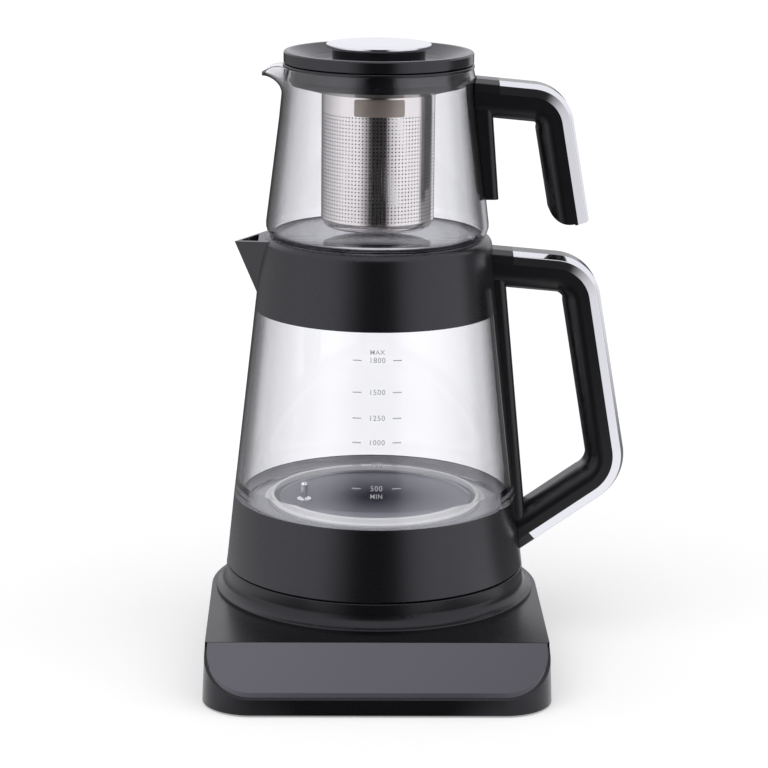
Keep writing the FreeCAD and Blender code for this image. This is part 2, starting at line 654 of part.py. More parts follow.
def block(label, length, depth, height, x, y, z):
    """An upright box that is centred on x, y and stands at z."""
    solid = doc.addObject("Part::Box", label)
    bind(solid, "Length", length)
    bind(solid, "Width", depth)
    bind(solid, "Height", height)
    place(solid, x - length / 2, y - depth / 2, z)
    return solid


def place(solid, x, y, z):
    for axis, value in (("x", x), ("y", y), ("z", z)):
        bind(solid, "Placement.Base." + axis, value)


def group(label, solids):
    """Identical loose solids as one sub-part."""
    bundle = doc.addObject("Part::Compound", label)
    bundle.Links = solids
    return keep(bundle)


def fused(label, solids):
    union = doc.addObject("Part::MultiFuse", label)
    union.Shapes = solids
    return union


def hollowed(label, solid, tool):
    rest = doc.addObject("Part::Cut", label)
    rest.Base = solid
    rest.Tool = tool
    return rest


def screw(label, x, y, z, up=True):
    """A screw whose head starts at z; its shank goes up, or down where up is false."""
    head_z = z if up else z - size.screw_head_height
    shank_z = z if up else z - size.screw_head_height - size.screw_length
    length = size.screw_length + size.screw_head_height
    head = rod(label + "_head", size.screw_head_radius, size.screw_head_height, x, y, head_z)
    shank = rod(label + "_shank", size.screw_radius, length, x, y, shank_z)
    return fused(label, [head, shank])


# ------------------------------------------------------------- power base

slope_length = root(size.slope_run * size.slope_run + size.slope_drop * size.slope_drop)
along_y = -(size.slope_run / slope_length)
along_z = -(size.slope_drop / slope_length)
cavity_front = size.panel_back_reach - size.base_wall * 2
base_skin = size.base_wall + size.base_lean
lean_angle = slant(-size.base_lean / size.base_height)


def slope_point(distance, depth):
    """A point on the panel's slope: along it from the back edge, and under it."""
    y = along_y * distance - along_z * depth
    z = along_z * distance + along_y * depth
    return y - size.panel_back_reach, z + size.base_top


def base_plan(sketch, inset):
    """The base's outline in plan, drawn in by the inset."""
    side = size.base_half_width - inset
    front = size.base_front_reach - inset
    front_side = size.base_front_half_width - inset
    back_round = size.base_back_radius - inset
    front_round = size.base_corner_radius - inset
    return draw(sketch, [(side, side, back_round), (-side, side, back_round),
                         (-front_side, -front, front_round), (front_side, -front, front_round)])


def boss_spots():
    """Where the housing's four screws stand."""
    back = size.base_half_width - size.boss_inset
    side = size.base_front_half_width - size.front_boss_inset
    front = size.front_boss_setback - size.panel_back_reach
    return [(back, back), (-back, back), (side, front), (-side, front)]


def make_base_top_housing():
    body = keep(new_body("base_top_housing"))
    extrude(body, base_plan(sketch_on(body, "XY_Plane", size.base_underside), 0),
            size.base_height, taper=lean_angle)
    # the slope that the touch panel lies on
    overrun = slope_length + size.base_wall * 4
    seat_back = slope_point(0, size.panel_thickness)
    seat_front = slope_point(overrun, size.panel_thickness)
    above = size.base_top + size.base_wall
    slope = draw(sketch_on(body, "YZ_Plane"),
                 [seat_back, seat_front, (seat_front[0], above),
                  (-size.panel_back_reach, above), (-size.panel_back_reach, size.base_top)])
    extrude(body, slope, size.base_half_width * 3, cut=True, symmetric=True)
    # round pedestal, its hollow flare and the edge of its foot
    plate_under = size.pedestal_top - size.base_wall
    foot = size.base_top - size.base_wall
    inner = size.pedestal_radius - size.base_wall
    pedestal = draw(sketch_on(body, "XZ_Plane"), [
        (inner, foot), (size.plinth_radius, foot),
        (size.plinth_radius, size.plinth_top, size.plinth_round),
        (size.flare_radius, size.flare_height, size.flare_round),
        (size.pedestal_radius, size.pedestal_top, size.base_wall * 0.25),
        (size.coupler_radius + size.fit_gap, size.pedestal_top),
        (size.coupler_radius + size.fit_gap, plate_under), (inner, plate_under)])
    revolve(body, pedestal)
    # hollow inside: under the pedestal, under the flat top, and under the slope
    well = draw_circle(sketch_on(body, "XY_Plane", size.base_underside), 0, 0, inner)
    extrude(body, well, plate_under - size.base_underside, cut=True, reverse=True)
    side = size.base_half_width - base_skin
    back_round = size.base_back_radius - base_skin
    front_side = size.base_front_half_width - base_skin
    room = draw(sketch_on(body, "XY_Plane", size.base_underside), [
        (side, side, back_round), (-side, side, back_round),
        (-front_side, -cavity_front), (front_side, -cavity_front)])
    extrude(body, room, foot - size.base_underside, cut=True, reverse=True)
    seat_depth = size.panel_thickness + size.base_wall
    lower_room = base_plan(sketch_on(body, "XY_Plane", size.base_underside), base_skin)
    low_ceiling = slope_point(slope_length, seat_depth)[1]
    extrude(body, lower_room, low_ceiling - size.base_underside, cut=True, reverse=True)
    ceiling_back = slope_point(0, seat_depth)
    ceiling_front = slope_point(slope_length - size.base_wall, seat_depth)
    wedge = draw(sketch_on(body, "YZ_Plane"), [
        (-cavity_front, size.base_underside), (ceiling_front[0], size.base_underside),
        ceiling_front, ceiling_back, (-cavity_front, ceiling_back[1])])
    wedge_width = (size.base_front_half_width - size.base_corner_radius) * 2
    extrude(body, wedge, wedge_width, cut=True, symmetric=True)
    # slot in the slope for the key springs
    slot_low = size.touch_board_start + size.touch_board_depth / 2 + size.key_spring_radius * 1.3
    slot_high = size.touch_board_start + size.touch_board_depth / 2 - size.key_spring_radius * 1.3
    slot = draw(sketch_on(body, "YZ_Plane"), [
        slope_point(slot_high, size.panel_thickness * 0.5), slope_point(slot_low, size.panel_thickness * 0.5),
        slope_point(slot_low, seat_depth * 1.2), slope_point(slot_high, seat_depth * 1.2)])
    extrude(body, slot, size.key_pitch * 5, cut=True, symmetric=True)
    # cord gland's hole in the back wall
    hole = draw_circle(sketch_on(body, "XZ_Plane", -(size.base_half_width + size.base_wall)),
                       0, size.gland_height, size.gland_radius)
    extrude(body, hole, size.base_wall + base_skin * 2, cut=True, reverse=True)
    # screw bosses with their pilot holes
    floor = size.cover_top + size.fit_gap
    bosses = sketch_on(body, "XY_Plane", floor)
    for x, y in boss_spots():
        draw_circle(bosses, x, y, size.boss_radius)
        draw_circle(bosses, x, y, size.screw_radius + size.fit_gap)
    extrude(body, bosses, foot + size.base_wall / 2 - floor)
    return body


def make_base_bottom_cover():
    body = keep(new_body("base_bottom_cover"))
    plan = base_plan(sketch_on(body, "XY_Plane", size.cover_bottom), base_skin + size.fit_gap * 2)
    extrude(body, plan, size.cover_thickness)
    holes = sketch_on(body, "XY_Plane", size.cover_bottom)
    for x, y in boss_spots():
        draw_circle(holes, x, y, size.screw_radius + size.fit_gap)
    extrude(body, holes, size.cover_thickness, cut=True, reverse=True)
    posts = sketch_on(body, "XY_Plane", size.cover_top)
    for x, y in board_corners():
        draw_circle(posts, x, y, size.board_post_radius)
    extrude(body, posts, size.board_post_height)
    return body


def board_corners():
    """Where the power board's posts stand."""
    x = size.board_length / 2 - size.board_post_radius * 2
    front_edge = size.board_setback - size.panel_back_reach
    back = front_edge + size.board_depth - size.board_post_radius * 2
    front = front_edge + size.board_post_radius * 2
    return [(x, back), (-x, back), (x, front), (-x, front)]


def make_touch_panel():
    """The glossy panel: the base's own plan, cut to a slab that follows the slope."""
    body = keep(new_body("touch_panel"))
    extrude(body, base_plan(sketch_on(body, "XY_Plane", size.base_underside), size.panel_border),
            size.base_height, taper=lean_angle)
    overrun = slope_length + size.base_wall * 4
    under = size.panel_thickness - size.fit_gap
    low_back = slope_point(size.fit_gap * 3, under)
    low_front = slope_point(overrun, under)
    back = slope_point(size.fit_gap * 3, -size.panel_thickness * 2)
    below = draw(sketch_on(body, "YZ_Plane"), [
        low_back, low_front, (low_front[0], -size.base_wall),
        (size.base_half_width * 2, -size.base_wall), (size.base_half_width * 2, size.base_top * 2),
        (back[0], size.base_top * 2), back])
    extrude(body, below, size.base_half_width * 3, cut=True, symmetric=True)
    high_back = slope_point(-size.panel_thickness * 2, 0)
    high_front = slope_point(overrun, 0)
    above = draw(sketch_on(body, "YZ_Plane"), [
        high_back, high_front, (high_front[0], size.base_top * 2), (high_back[0], size.base_top * 2)])
    extrude(body, above, size.base_half_width * 3, cut=True, symmetric=True)
    return body


def make_touch_board():
    body = keep(new_body("touch_board"))
    top = size.panel_thickness + size.key_spring_length
    start = size.touch_board_start
    end = start + size.touch_board_depth
    section = draw(sketch_on(body, "YZ_Plane"), [
        slope_point(start, top), slope_point(end, top),
        slope_point(end, top + size.board_thickness), slope_point(start, top + size.board_thickness)])
    extrude(body, section, size.touch_board_length, symmetric=True)
    return body


def make_touch_key_springs():
    """Five short springs, drawn as sleeves, between the touch board and the panel."""
    middle = size.touch_board_start + size.touch_board_depth / 2
    sleeves = []
    for i in range(5):
        foot = slope_point(middle, size.panel_thickness + size.key_spring_length - size.fit_gap / 2)
        x = size.key_pitch * (i - 2)
        length = size.key_spring_length - size.fit_gap
        tilt = -math.degrees(math.atan2(along_z.number, along_y.number)) - 180
        solids = []
        bore = size.key_spring_radius - size.key_spring_wall
        for radius, name in ((size.key_spring_radius, "out"), (bore, "in")):
            cylinder = rod("key_%s_%d" % (name, i), radius, length, x, foot[0], foot[1])
            cylinder.Placement.Rotation = FreeCAD.Rotation(Vector(1, 0, 0), -tilt)
            solids.append(cylinder)
        sleeves.append(hollowed("key_spring_%d" % i, *solids))
    return group("touch_key_springs", sleeves)


def make_power_board():
    middle = size.board_setback - size.panel_back_reach + size.board_depth / 2
    return keep(block("power_board", size.board_length, size.board_depth, size.board_thickness,
                      as_size(0), middle, size.board_height))


def make_board_parts():
    """The large components that stand on the power board."""
    middle = size.board_setback - size.panel_back_reach + size.board_depth / 2
    top = size.board_height + size.board_thickness
    step = size.board_length / 4
    keep(block("relay", size.relay_length, size.relay_depth, size.relay_height, -step, middle, top))
    core = block("transformer_core", size.transformer_length, size.transformer_depth * 0.6,
                 size.transformer_height, as_size(0), middle, top)
    coil = block("transformer_coil", size.transformer_length * 0.6, size.transformer_depth,
                 size.transformer_height * 0.8, as_size(0), middle, top)
    keep(fused("transformer", [core, coil]))
    keep(rod("capacitor", size.capacitor_radius, size.capacitor_height, step, middle, top))
    keep(rod("buzzer", size.buzzer_radius, size.buzzer_height, step + size.capacitor_radius * 2.4,
             middle, top))


def make_base_coupler():
    flange_top = size.pedestal_top - size.base_wall - size.fit_gap
    flange_under = flange_top - size.base_wall
    groove = size.coupler_height - size.groove_depth
    pin = size.contact_pin_radius + size.fit_gap
    return turned("base_coupler", [
        (pin, flange_under), (size.coupler_flange_radius, flange_under),
        (size.coupler_flange_radius, flange_top), (size.coupler_radius, flange_top),
        (size.coupler_radius, size.coupler_height, size.base_wall * 0.6),
        (size.groove_outer, size.coupler_height), (size.groove_outer, groove),
        (size.groove_inner, groove), (size.groove_inner, size.coupler_height),
        (pin, size.coupler_height)])


def make_coupler_contacts():
    """Two brass rings in the coupler's groove and the pin in its middle."""
    groove = size.coupler_height - size.groove_depth + size.fit_gap
    length = size.groove_depth - size.contact_wall * 2
    rings = []
    for name, outside in (("outer", size.groove_outer - size.fit_gap),
                          ("inner", size.groove_inner + size.fit_gap + size.contact_wall)):
        tube = rod("contact_%s_tube" % name, outside, length, 0, 0, groove)
        bore = rod("contact_%s_bore" % name, outside - size.contact_wall, length, 0, 0, groove)
        rings.append(hollowed("contact_%s" % name, tube, bore))
    foot = size.pedestal_top - size.base_wall * 2
    rings.append(rod("contact_pin", size.contact_pin_radius, size.contact_pin_top - foot, 0, 0, foot))
    return group("coupler_contacts", rings)


def make_base_feet():
    x = size.base_half_width - size.foot_side_inset
    back = size.base_half_width - size.foot_back_inset
    front = size.foot_front_inset - size.base_front_reach
    spots = [(x, back), (-x, back), (x, front), (-x, front), (0, 0)]
    feet = [rod("foot_%d" % i, size.foot_radius, size.cover_bottom, spot[0], spot[1], 0)
            for i, spot in enumerate(spots)]
    return group("base_feet", feet)


def make_base_screws():
    screws = [screw("base_screw_%d" % i, x, y, size.cover_bottom - size.screw_head_height)
              for i, (x, y) in enumerate(boss_spots())]
    return group("base_screws", screws)


def make_cord_gland():
    """A flanged bush in the back wall, turned round its own level axis."""
    body = keep(new_body("cord_gland"))
    lip = size.gland_radius + size.gland_lip
    lean = size.base_lean / size.base_height * (size.gland_rise - lip)
    outside = size.base_half_width - lean + size.gland_lip
    inside = outside - base_skin - size.gland_lip * 2
    sleeve = size.gland_radius - size.fit_gap
    ring = sketch_on(body, "XZ_Plane", -outside)
    draw_circle(ring, 0, size.gland_height, lip)
    draw_circle(ring, 0, size.gland_height, size.gland_bore)
    extrude(body, ring, size.gland_lip - size.fit_gap)
    tube = sketch_on(body, "XZ_Plane", -outside)
    draw_circle(tube, 0, size.gland_height, sleeve)
    draw_circle(tube, 0, size.gland_height, size.gland_bore)
    extrude(body, tube, outside - inside)
    return body


# ------------------------------------------------------------------ kettle

def make_kettle_coupler():
    """The socket that drops over the upright half of the coupler."""
    inside = size.coupler_radius + size.lift_gap
    ceiling = size.coupler_height + size.lift_gap * 2
    cover_top = size.kettle_bottom + size.kettle_cover_inset + size.kettle_cover_thickness
    flange = cover_top + size.lift_gap
    pin = size.contact_pin_radius + size.lift_gap * 2
    return turned("kettle_coupler", [
        (0, size.contact_pin_top + size.lift_gap * 2), (pin, size.contact_pin_top + size.lift_gap * 2),
        (pin, ceiling), (inside, ceiling), (inside, size.kettle_bottom),
        (size.socket_radius, size.kettle_bottom), (size.socket_radius, flange),
        (size.socket_flange_radius, flange), (size.socket_flange_radius, flange + size.shell_wall),
        (size.socket_radius, flange + size.shell_wall), (size.socket_radius, size.socket_top, 1.5),
        (0, size.socket_top)])


def make_thermal_control():
    """The control over the socket, with the two studs that hang it from the diffuser."""
    bottom = size.socket_top + size.lift_gap
    disc = rod("control_disc", size.control_radius, size.control_thickness, 0, 0, bottom)
    under_diffuser = size.heater_top - size.heater_thickness - size.diffuser_thickness
    length = under_diffuser - bottom
    studs = [rod("control_stud_%d" % i, size.control_stud_radius, length,
                 size.control_stud_reach * side, 0, bottom) for i, side in enumerate((1, -1))]
    return keep(fused("thermal_control", [disc] + studs))


def make_kettle_base_shell():
    """The black ring under the glass, with the ledge that carries the glass floor."""
    ledge_top = size.glass_floor_bottom - size.fit_gap
    ledge_under = ledge_top - size.shell_ledge_thickness
    glass = size.shell_top_radius - size.glass_relief + size.fit_gap
    wall_low = size.kettle_bottom_radius - size.shell_wall
    wall_high = shell_radius(ledge_under) - size.shell_wall
    body = keep(new_body("kettle_base_shell"))
    profile = draw(sketch_on(body, "XZ_Plane"), [
        (size.kettle_bottom_radius, size.kettle_bottom, 0.8), (size.shell_top_radius, size.shell_top, 0.6),
        (glass, size.shell_top), (glass, ledge_top), (size.shell_ledge_radius, ledge_top),
        (size.shell_ledge_radius, ledge_under), (wall_high, ledge_under), (wall_low, size.kettle_bottom)])
    revolve(body, profile)
    cover_top = size.kettle_bottom + size.kettle_cover_inset + size.kettle_cover_thickness
    lift = cover_top + size.fit_gap
    posts = sketch_on(body, "XY_Plane", lift)
    for x, y in kettle_post_spots():
        draw_circle(posts, x, y, size.kettle_boss_radius)
        draw_circle(posts, x, y, size.screw_radius + size.fit_gap)
    extrude(body, posts, ledge_under + size.shell_ledge_thickness / 2 - lift)
    handle_hole(body, size.kettle_bottom_radius, handle_screw_low())
    return body


def kettle_post_spots():
    """Three screw posts that stand under the glass ledge."""
    reach = size.shell_ledge_radius + size.kettle_boss_radius * 0.9
    return [(reach * math.cos(turn), reach * math.sin(turn))
            for turn in (math.radians(90), math.radians(210), math.radians(330))]


def make_kettle_bottom_cover():
    bottom = size.kettle_bottom + size.kettle_cover_inset
    body = keep(new_body("kettle_bottom_cover"))
    inside = shell_radius(bottom + size.kettle_cover_thickness) - size.shell_wall
    plate = sketch_on(body, "XY_Plane", bottom)
    draw_circle(plate, 0, 0, inside - size.fit_gap)
    draw_circle(plate, 0, 0, size.socket_radius + size.lift_gap)
    extrude(body, plate, size.kettle_cover_thickness)
    holes = sketch_on(body, "XY_Plane", bottom)
    for x, y in kettle_post_spots():
        draw_circle(holes, x, y, size.screw_head_radius + size.fit_gap)
    extrude(body, holes, size.screw_head_height, cut=True, reverse=True)
    shanks = sketch_on(body, "XY_Plane", bottom)
    for x, y in kettle_post_spots():
        draw_circle(shanks, x, y, size.screw_radius + size.fit_gap)
    extrude(body, shanks, size.kettle_cover_thickness, cut=True, reverse=True)
    return body


def make_kettle_bottom_screws():
    z = size.kettle_bottom + size.kettle_cover_inset
    return group("kettle_bottom_screws", [screw("kettle_screw_%d" % i, x, y, z)
                                          for i, (x, y) in enumerate(kettle_post_spots())])


def make_kettle_glass():
    """The kettle's glass: a cone, stepped in behind the collar and behind the shell."""
    relieved = size.shell_top_radius - size.glass_relief
    return turned("kettle_glass", [
        (kettle_radius(size.glass_top) - size.glass_relief, size.glass_top, 0.6),
        (size.collar_bottom_radius - size.glass_relief, size.collar_bottom),
        (size.collar_bottom_radius, size.collar_bottom),
        (size.shell_top_radius, size.shell_top),
        (relieved, size.shell_top), (relieved, size.glass_floor_bottom, 5),
        (size.glass_floor_radius, size.glass_floor_bottom), (size.glass_floor_radius, size.glass_floor_top),
        (size.glass_corner_radius, size.glass_floor_top, size.glass_corner_round),
        (size.glass_straight_radius, size.glass_straight_height),
        (size.collar_bottom_radius - size.glass_wall, size.collar_bottom),
        (kettle_radius(size.glass_top) - size.glass_wall, size.glass_top, 0.6)])


def make_heater_seal():
    """The ring that grips the edge of the glass floor and the heater plate."""
    under = size.glass_floor_bottom - size.heater_seal_lip - size.fit_gap
    over = size.glass_floor_top
    return turned("heater_seal", [
        (size.heater_edge_radius + size.fit_gap, under), (size.heater_seal_radius, under),
        (size.heater_seal_radius, size.glass_floor_bottom - size.fit_gap),
        (size.glass_floor_radius - size.fit_gap, size.glass_floor_bottom - size.fit_gap),
        (size.glass_floor_radius - size.fit_gap, over + size.fit_gap),
        (size.heater_seal_radius, over + size.fit_gap),
        (size.heater_seal_radius, over + size.fit_gap + size.heater_seal_lip),
        (size.heater_edge_radius + size.fit_gap, over + size.fit_gap + size.heater_seal_lip)])


def make_heater_plate():
    """The steel plate that the water stands on, with a rounded rim and a turned-down edge."""
    sheet = size.heater_thickness
    skirt = size.glass_floor_bottom
    rim = size.heater_radius + size.heater_bead * 3
    body = turned("heater_plate", [
        (0, size.heater_top - sheet), (size.heater_radius, size.heater_top - sheet),
        (size.heater_edge_radius - sheet, size.heater_top - sheet),
        (size.heater_edge_radius - sheet, skirt), (size.heater_edge_radius, skirt),
        (size.heater_edge_radius, size.heater_top, 0.7),
        (rim, size.heater_top), (rim - size.heater_bead, size.heater_top + size.heater_bead, 0.3),
        (size.heater_radius + size.heater_bead, size.heater_top + size.heater_bead, 0.3),
        (size.heater_radius, size.heater_top), (0, size.heater_top)])
    hole = draw_circle(sketch_on(body, "XY_Plane", skirt), -size.probe_side_reach,
                       -size.probe_front_reach, size.probe_tail_radius + size.fit_gap)
    extrude(body, hole, size.probe_height, cut=True, reverse=True)
    return body


def make_clamp_ring():
    top = size.glass_floor_bottom - size.heater_seal_lip - size.fit_gap * 2
    return turned("heater_clamp_ring", [
        (size.clamp_inner_radius, top - size.clamp_thickness), (size.clamp_radius, top - size.clamp_thickness),
        (size.clamp_radius, top), (size.heater_seal_radius - size.fit_gap * 6, top),
        (size.clamp_inner_radius, top)])


def make_heat_diffuser():
    top = size.heater_top - size.heater_thickness
    return keep(rod("heat_diffuser", size.diffuser_radius, size.diffuser_thickness, 0, 0,
                    top - size.diffuser_thickness))


def make_heating_element():
    """An open ring of tube under the diffuser, with its two cold ends."""
    middle = size.heater_top - size.heater_thickness - size.diffuser_thickness - size.element_tube_radius
    ring = doc.addObject("Part::Torus", "element_ring")
    bind(ring, "Radius1", size.element_radius)
    bind(ring, "Radius2", size.element_tube_radius)
    bind(ring, "Angle3", size.element_sweep)
    place(ring, 0, 0, middle - size.fit_gap)
    ends = []
    for i, turn in enumerate((0.0, math.radians(size.element_sweep.number))):
        x = size.element_radius * math.cos(turn)
        y = size.element_radius * math.sin(turn)
        ends.append(rod("element_end_%d" % i, size.element_tube_radius * 0.7,
                        size.element_tube_radius * 2.5, x, y,
                        middle - size.element_tube_radius * 2.5))
    return keep(fused("heating_element", [ring] + ends))


def make_temperature_probe():
    """A round-nosed pin that stands on the heater plate; its tail goes through."""
    body = keep(new_body("temperature_probe"))
    under = size.heater_top - size.probe_tail_length
    profile = draw(sketch_on(body, "XZ_Plane"), [
        (0, under), (size.probe_tail_radius, under),
        (size.probe_tail_radius, size.heater_top), (size.probe_flange_radius, size.heater_top),
        (size.probe_flange_radius, size.heater_top + size.probe_flange_thickness, 0.5),
        (size.probe_radius, size.heater_top + size.probe_flange_thickness),
        (size.probe_radius, size.heater_top + size.probe_height, size.probe_radius * 0.9),
        (0, size.heater_top + size.probe_height)])
    revolve(body, profile)
    place(body, -size.probe_side_reach, -size.probe_front_reach, 0)
    return body


def make_probe_nut():
    body = keep(new_body("probe_nut"))
    top = size.heater_top - size.heater_thickness
    sketch = sketch_on(body, "XY_Plane", top - size.probe_nut_height)
    draw(sketch, [(size.probe_nut_radius * math.cos(math.radians(60 * i + 30)),
                   size.probe_nut_radius * math.sin(math.radians(60 * i + 30))) for i in range(6)])
    draw_circle(sketch, 0, 0, size.probe_tail_radius + size.fit_gap / 2)
    extrude(body, sketch, size.probe_nut_height)
    place(body, -size.probe_side_reach, -size.probe_front_reach, 0)
    return body


def spout_section(body, height, reach):
    """A level triangle through the spout: its point is at the reach."""
    half = (reach - size.spout_base_reach) * size.spout_flare
    return draw(sketch_on(body, "XY_Plane", height), [
        (-reach, 0), (-size.spout_base_reach, half), (-size.spout_base_reach, -half)])


def loft(body, sections, cut=False):
    kind = "SubtractiveLoft" if cut else "AdditiveLoft"
    feature = body.newObject("PartDesign::" + kind, body.Label + "_loft")
    feature.Profile = sections[0]
    feature.Sections = sections[1:]
    feature.Ruled = True
    return feature


def make_kettle_collar():
    """The black collar: spout, shoulder, and the recess that the teapot stands in."""
    body = keep(new_body("kettle_collar"))
    lean = ((size.spout_tip_reach - kettle_radius(size.spout_root_height))
            / (size.spout_tip_height - size.spout_root_height))
    root_reach = kettle_radius(size.spout_root_height)
    top = size.collar_top
    top_reach = root_reach + lean * (top - size.spout_root_height)
    loft(body, [spout_section(body, size.spout_root_height, root_reach),
                spout_section(body, top, top_reach)])
    # the spout's rim falls from the collar to the tip
    fall = ((size.spout_rim_height - size.spout_tip_height)
            / (size.spout_tip_reach - collar_outside))
    past = size.spout_tip_reach + size.collar_shoulder
    past_height = size.spout_tip_height - fall * size.collar_shoulder
    rim_reach = size.seat_outer_radius
    rim_height = size.spout_rim_height + fall * (collar_outside - rim_reach)
    rim = draw(sketch_on(body, "XZ_Plane"), [
        (-past, past_height), (-rim_reach, rim_height), (-rim_reach, size.seat_height),
        (0, size.seat_height), (0, top + size.collar_shoulder), (-past, top + size.collar_shoulder)])
    extrude(body, rim, size.collar_bottom_radius, cut=True, symmetric=True)
    # the collar itself as a solid cone, then hollowed
    revolve(body, draw(sketch_on(body, "XZ_Plane"), [
        (0, size.collar_bottom), (size.collar_bottom_radius, size.collar_bottom),
        (collar_outside, top, size.collar_shoulder), (0, top)]))
    skirt_low = size.collar_bottom_radius - size.collar_skirt
    skirt_high = kettle_radius(size.collar_ceiling) - size.collar_skirt
    opening = size.seat_inner_radius
    lip = opening + size.collar_lip_thickness
    below = size.collar_bottom - size.collar_skirt
    above = size.collar_top + size.spout_wall
    revolve(body, draw(sketch_on(body, "XZ_Plane"), [
        (0, below), (skirt_low, below), (skirt_low, size.collar_bottom),
        (skirt_high, size.collar_ceiling), (lip, size.collar_ceiling),
        (lip, size.collar_lip_bottom), (opening, size.collar_lip_bottom),
        (opening, size.seat_height), (size.seat_outer_radius, size.seat_height),
        (size.seat_outer_radius, above), (0, above)]), cut=True)
    # channel from the kettle's inside to the tip
    thin = size.spout_wall * root(1 + size.spout_flare * size.spout_flare) / size.spout_flare
    floor = size.glass_top + size.lift_gap
    floor_reach = root_reach + lean * (floor - size.spout_root_height) - thin
    ceiling_reach = root_reach + lean * (size.collar_ceiling - size.spout_root_height) - thin
    roof = size.collar_ceiling
    loft(body, [spout_section(body, floor, floor_reach), spout_section(body, roof, ceiling_reach)],
         cut=True)
    above_reach = root_reach + lean * (above - size.spout_root_height) - thin
    open_reach = size.collar_bottom_radius - size.spout_wall
    mouth_low = draw(sketch_on(body, "XY_Plane", roof - size.fit_gap), [
        (-ceiling_reach, 0), (-open_reach, (ceiling_reach - open_reach) * size.spout_flare),
        (-open_reach, -(ceiling_reach - open_reach) * size.spout_flare)])
    mouth_high = draw(sketch_on(body, "XY_Plane", above), [
        (-above_reach, 0), (-open_reach, (above_reach - open_reach) * size.spout_flare),
        (-open_reach, -(above_reach - open_reach) * size.spout_flare)])
    loft(body, [mouth_low, mouth_high], cut=True)
    handle_hole(body, size.collar_bottom_radius, handle_screw_high())
    return body


def make_collar_seal():
    """The ring between the glass rim and the collar, open towards the spout."""
    rim = kettle_radius(size.glass_top)
    inside = rim - size.glass_wall - size.fit_gap
    lip = inside - size.collar_seal_thickness
    top = size.glass_top + size.collar_seal_thickness
    outside = kettle_radius(top) - size.collar_skirt - size.fit_gap
    foot = size.glass_top - size.glass_wall * 2
    body = turned("collar_seal", [
        (lip, foot), (inside, foot), (inside, size.glass_top + size.fit_gap),
        (outside, size.glass_top + size.fit_gap), (outside, top), (lip, top)])
    gate = size.seat_inner_radius * 0.75
    notch = draw(sketch_on(body, "XY_Plane", foot - size.fit_gap), [
        (-size.collar_bottom_radius - size.glass_wall, gate / 2), (-size.seat_inner_radius, gate / 2),
        (-size.seat_inner_radius, -gate / 2), (-size.collar_bottom_radius - size.glass_wall, -gate / 2)])
    extrude(body, notch, size.collar_top - foot, cut=True, reverse=True)
    return body


# ----------------------------------------------------------------- handles

def handle_profile(body, reach, height):
    """The handle's whole section, its outer face at the height."""
    half = size.handle_depth / 2
    upper = half - size.handle_side_lean
    crown = size.handle_crown / 2
    bottom = height - size.handle_thickness
    low = height - size.trim_depth
    shoulder = height - size.handle_bevel_drop
    edge = size.trim_wall / 2
    return draw(sketch_on(body, "YZ_Plane", reach), [
        (-crown, height), (crown, height), (upper, shoulder, edge), (half, low),
        (half, bottom, size.handle_round), (-half, bottom, size.handle_round), (-half, low),
        (-upper, shoulder, edge)])


def trim_recess_profile(body, reach, height):
    """What the handle gives up to the trim and the inlay."""
    air = size.fit_gap
    past = size.handle_depth / 2 + size.trim_wall
    side = size.handle_depth / 2 - size.trim_wall - air
    upper = side - size.handle_side_lean
    crown = size.handle_crown / 2
    skin = size.trim_wall + air
    low = height - size.trim_depth - air
    web = height - size.inlay_thickness - skin
    return draw(sketch_on(body, "YZ_Plane", reach), [
        (-past, height + size.trim_wall), (past, height + size.trim_wall), (past, low), (side, low),
        (upper, web - size.handle_bevel_drop / 2), (crown, web), (-crown, web),
        (-upper, web - size.handle_bevel_drop / 2), (-side, low), (-past, low)])


def trim_profile(body, reach, height):
    """A channel: two flanges and bevels, with a sunk middle for the inlay."""
    half = size.handle_depth / 2
    crown = size.handle_crown / 2
    low = height - size.trim_depth
    sunk = height - size.inlay_thickness
    web = sunk - size.trim_wall
    side = half - size.trim_wall
    lean = size.handle_side_lean
    shoulder = height - size.handle_bevel_drop
    edge = size.trim_wall / 2
    return draw(sketch_on(body, "YZ_Plane", reach), [
        (-half, low), (lean - half, shoulder, edge), (-crown, height), (-crown, sunk), (crown, sunk),
        (crown, height), (half - lean, shoulder, edge), (half, low), (side, low),
        (side - lean, web - size.handle_bevel_drop / 2), (crown, web), (-crown, web),
        (lean - side, web - size.handle_bevel_drop / 2), (-side, low)])


def inlay_profile(body, reach, height):
    side = size.handle_crown / 2 - size.fit_gap
    return draw(sketch_on(body, "YZ_Plane", reach), [
        (-side, height), (side, height), (side, height - size.inlay_thickness),
        (-side, height - size.inlay_thickness)])


def sweep(body, profile, path, cut=False):
    kind = "SubtractivePipe" if cut else "AdditivePipe"
    feature = body.newObject("PartDesign::" + kind, body.Label + "_sweep")
    feature.Profile = profile
    feature.Spine = path
    return feature


def kettle_arm_top(reach):
    """Outer face of the kettle handle's upper arm."""
    return size.kettle_arm_height - (reach - size.kettle_arm_reach) * size.kettle_arm_slope


def kettle_root(reach):
    """Outer face of the kettle handle's lower arm."""
    return size.kettle_elbow_height - (size.kettle_elbow_reach - reach) * size.kettle_root_slope


def kettle_handle_path(body, start, end):
    """The line that the kettle handle's outer face follows."""
    return draw(sketch_on(body, "XZ_Plane"), [
        (start, kettle_arm_top(start)),
        (size.kettle_arm_reach, size.kettle_arm_height, size.kettle_upper_bend),
        (size.kettle_elbow_reach, size.kettle_elbow_height, size.kettle_lower_bend),
        (end, kettle_root(end))], closed=False)


def teapot_arm_top(reach):
    """Outer face of the teapot handle's arm."""
    return size.teapot_arm_height - (reach - size.teapot_arm_reach) * size.teapot_arm_slope


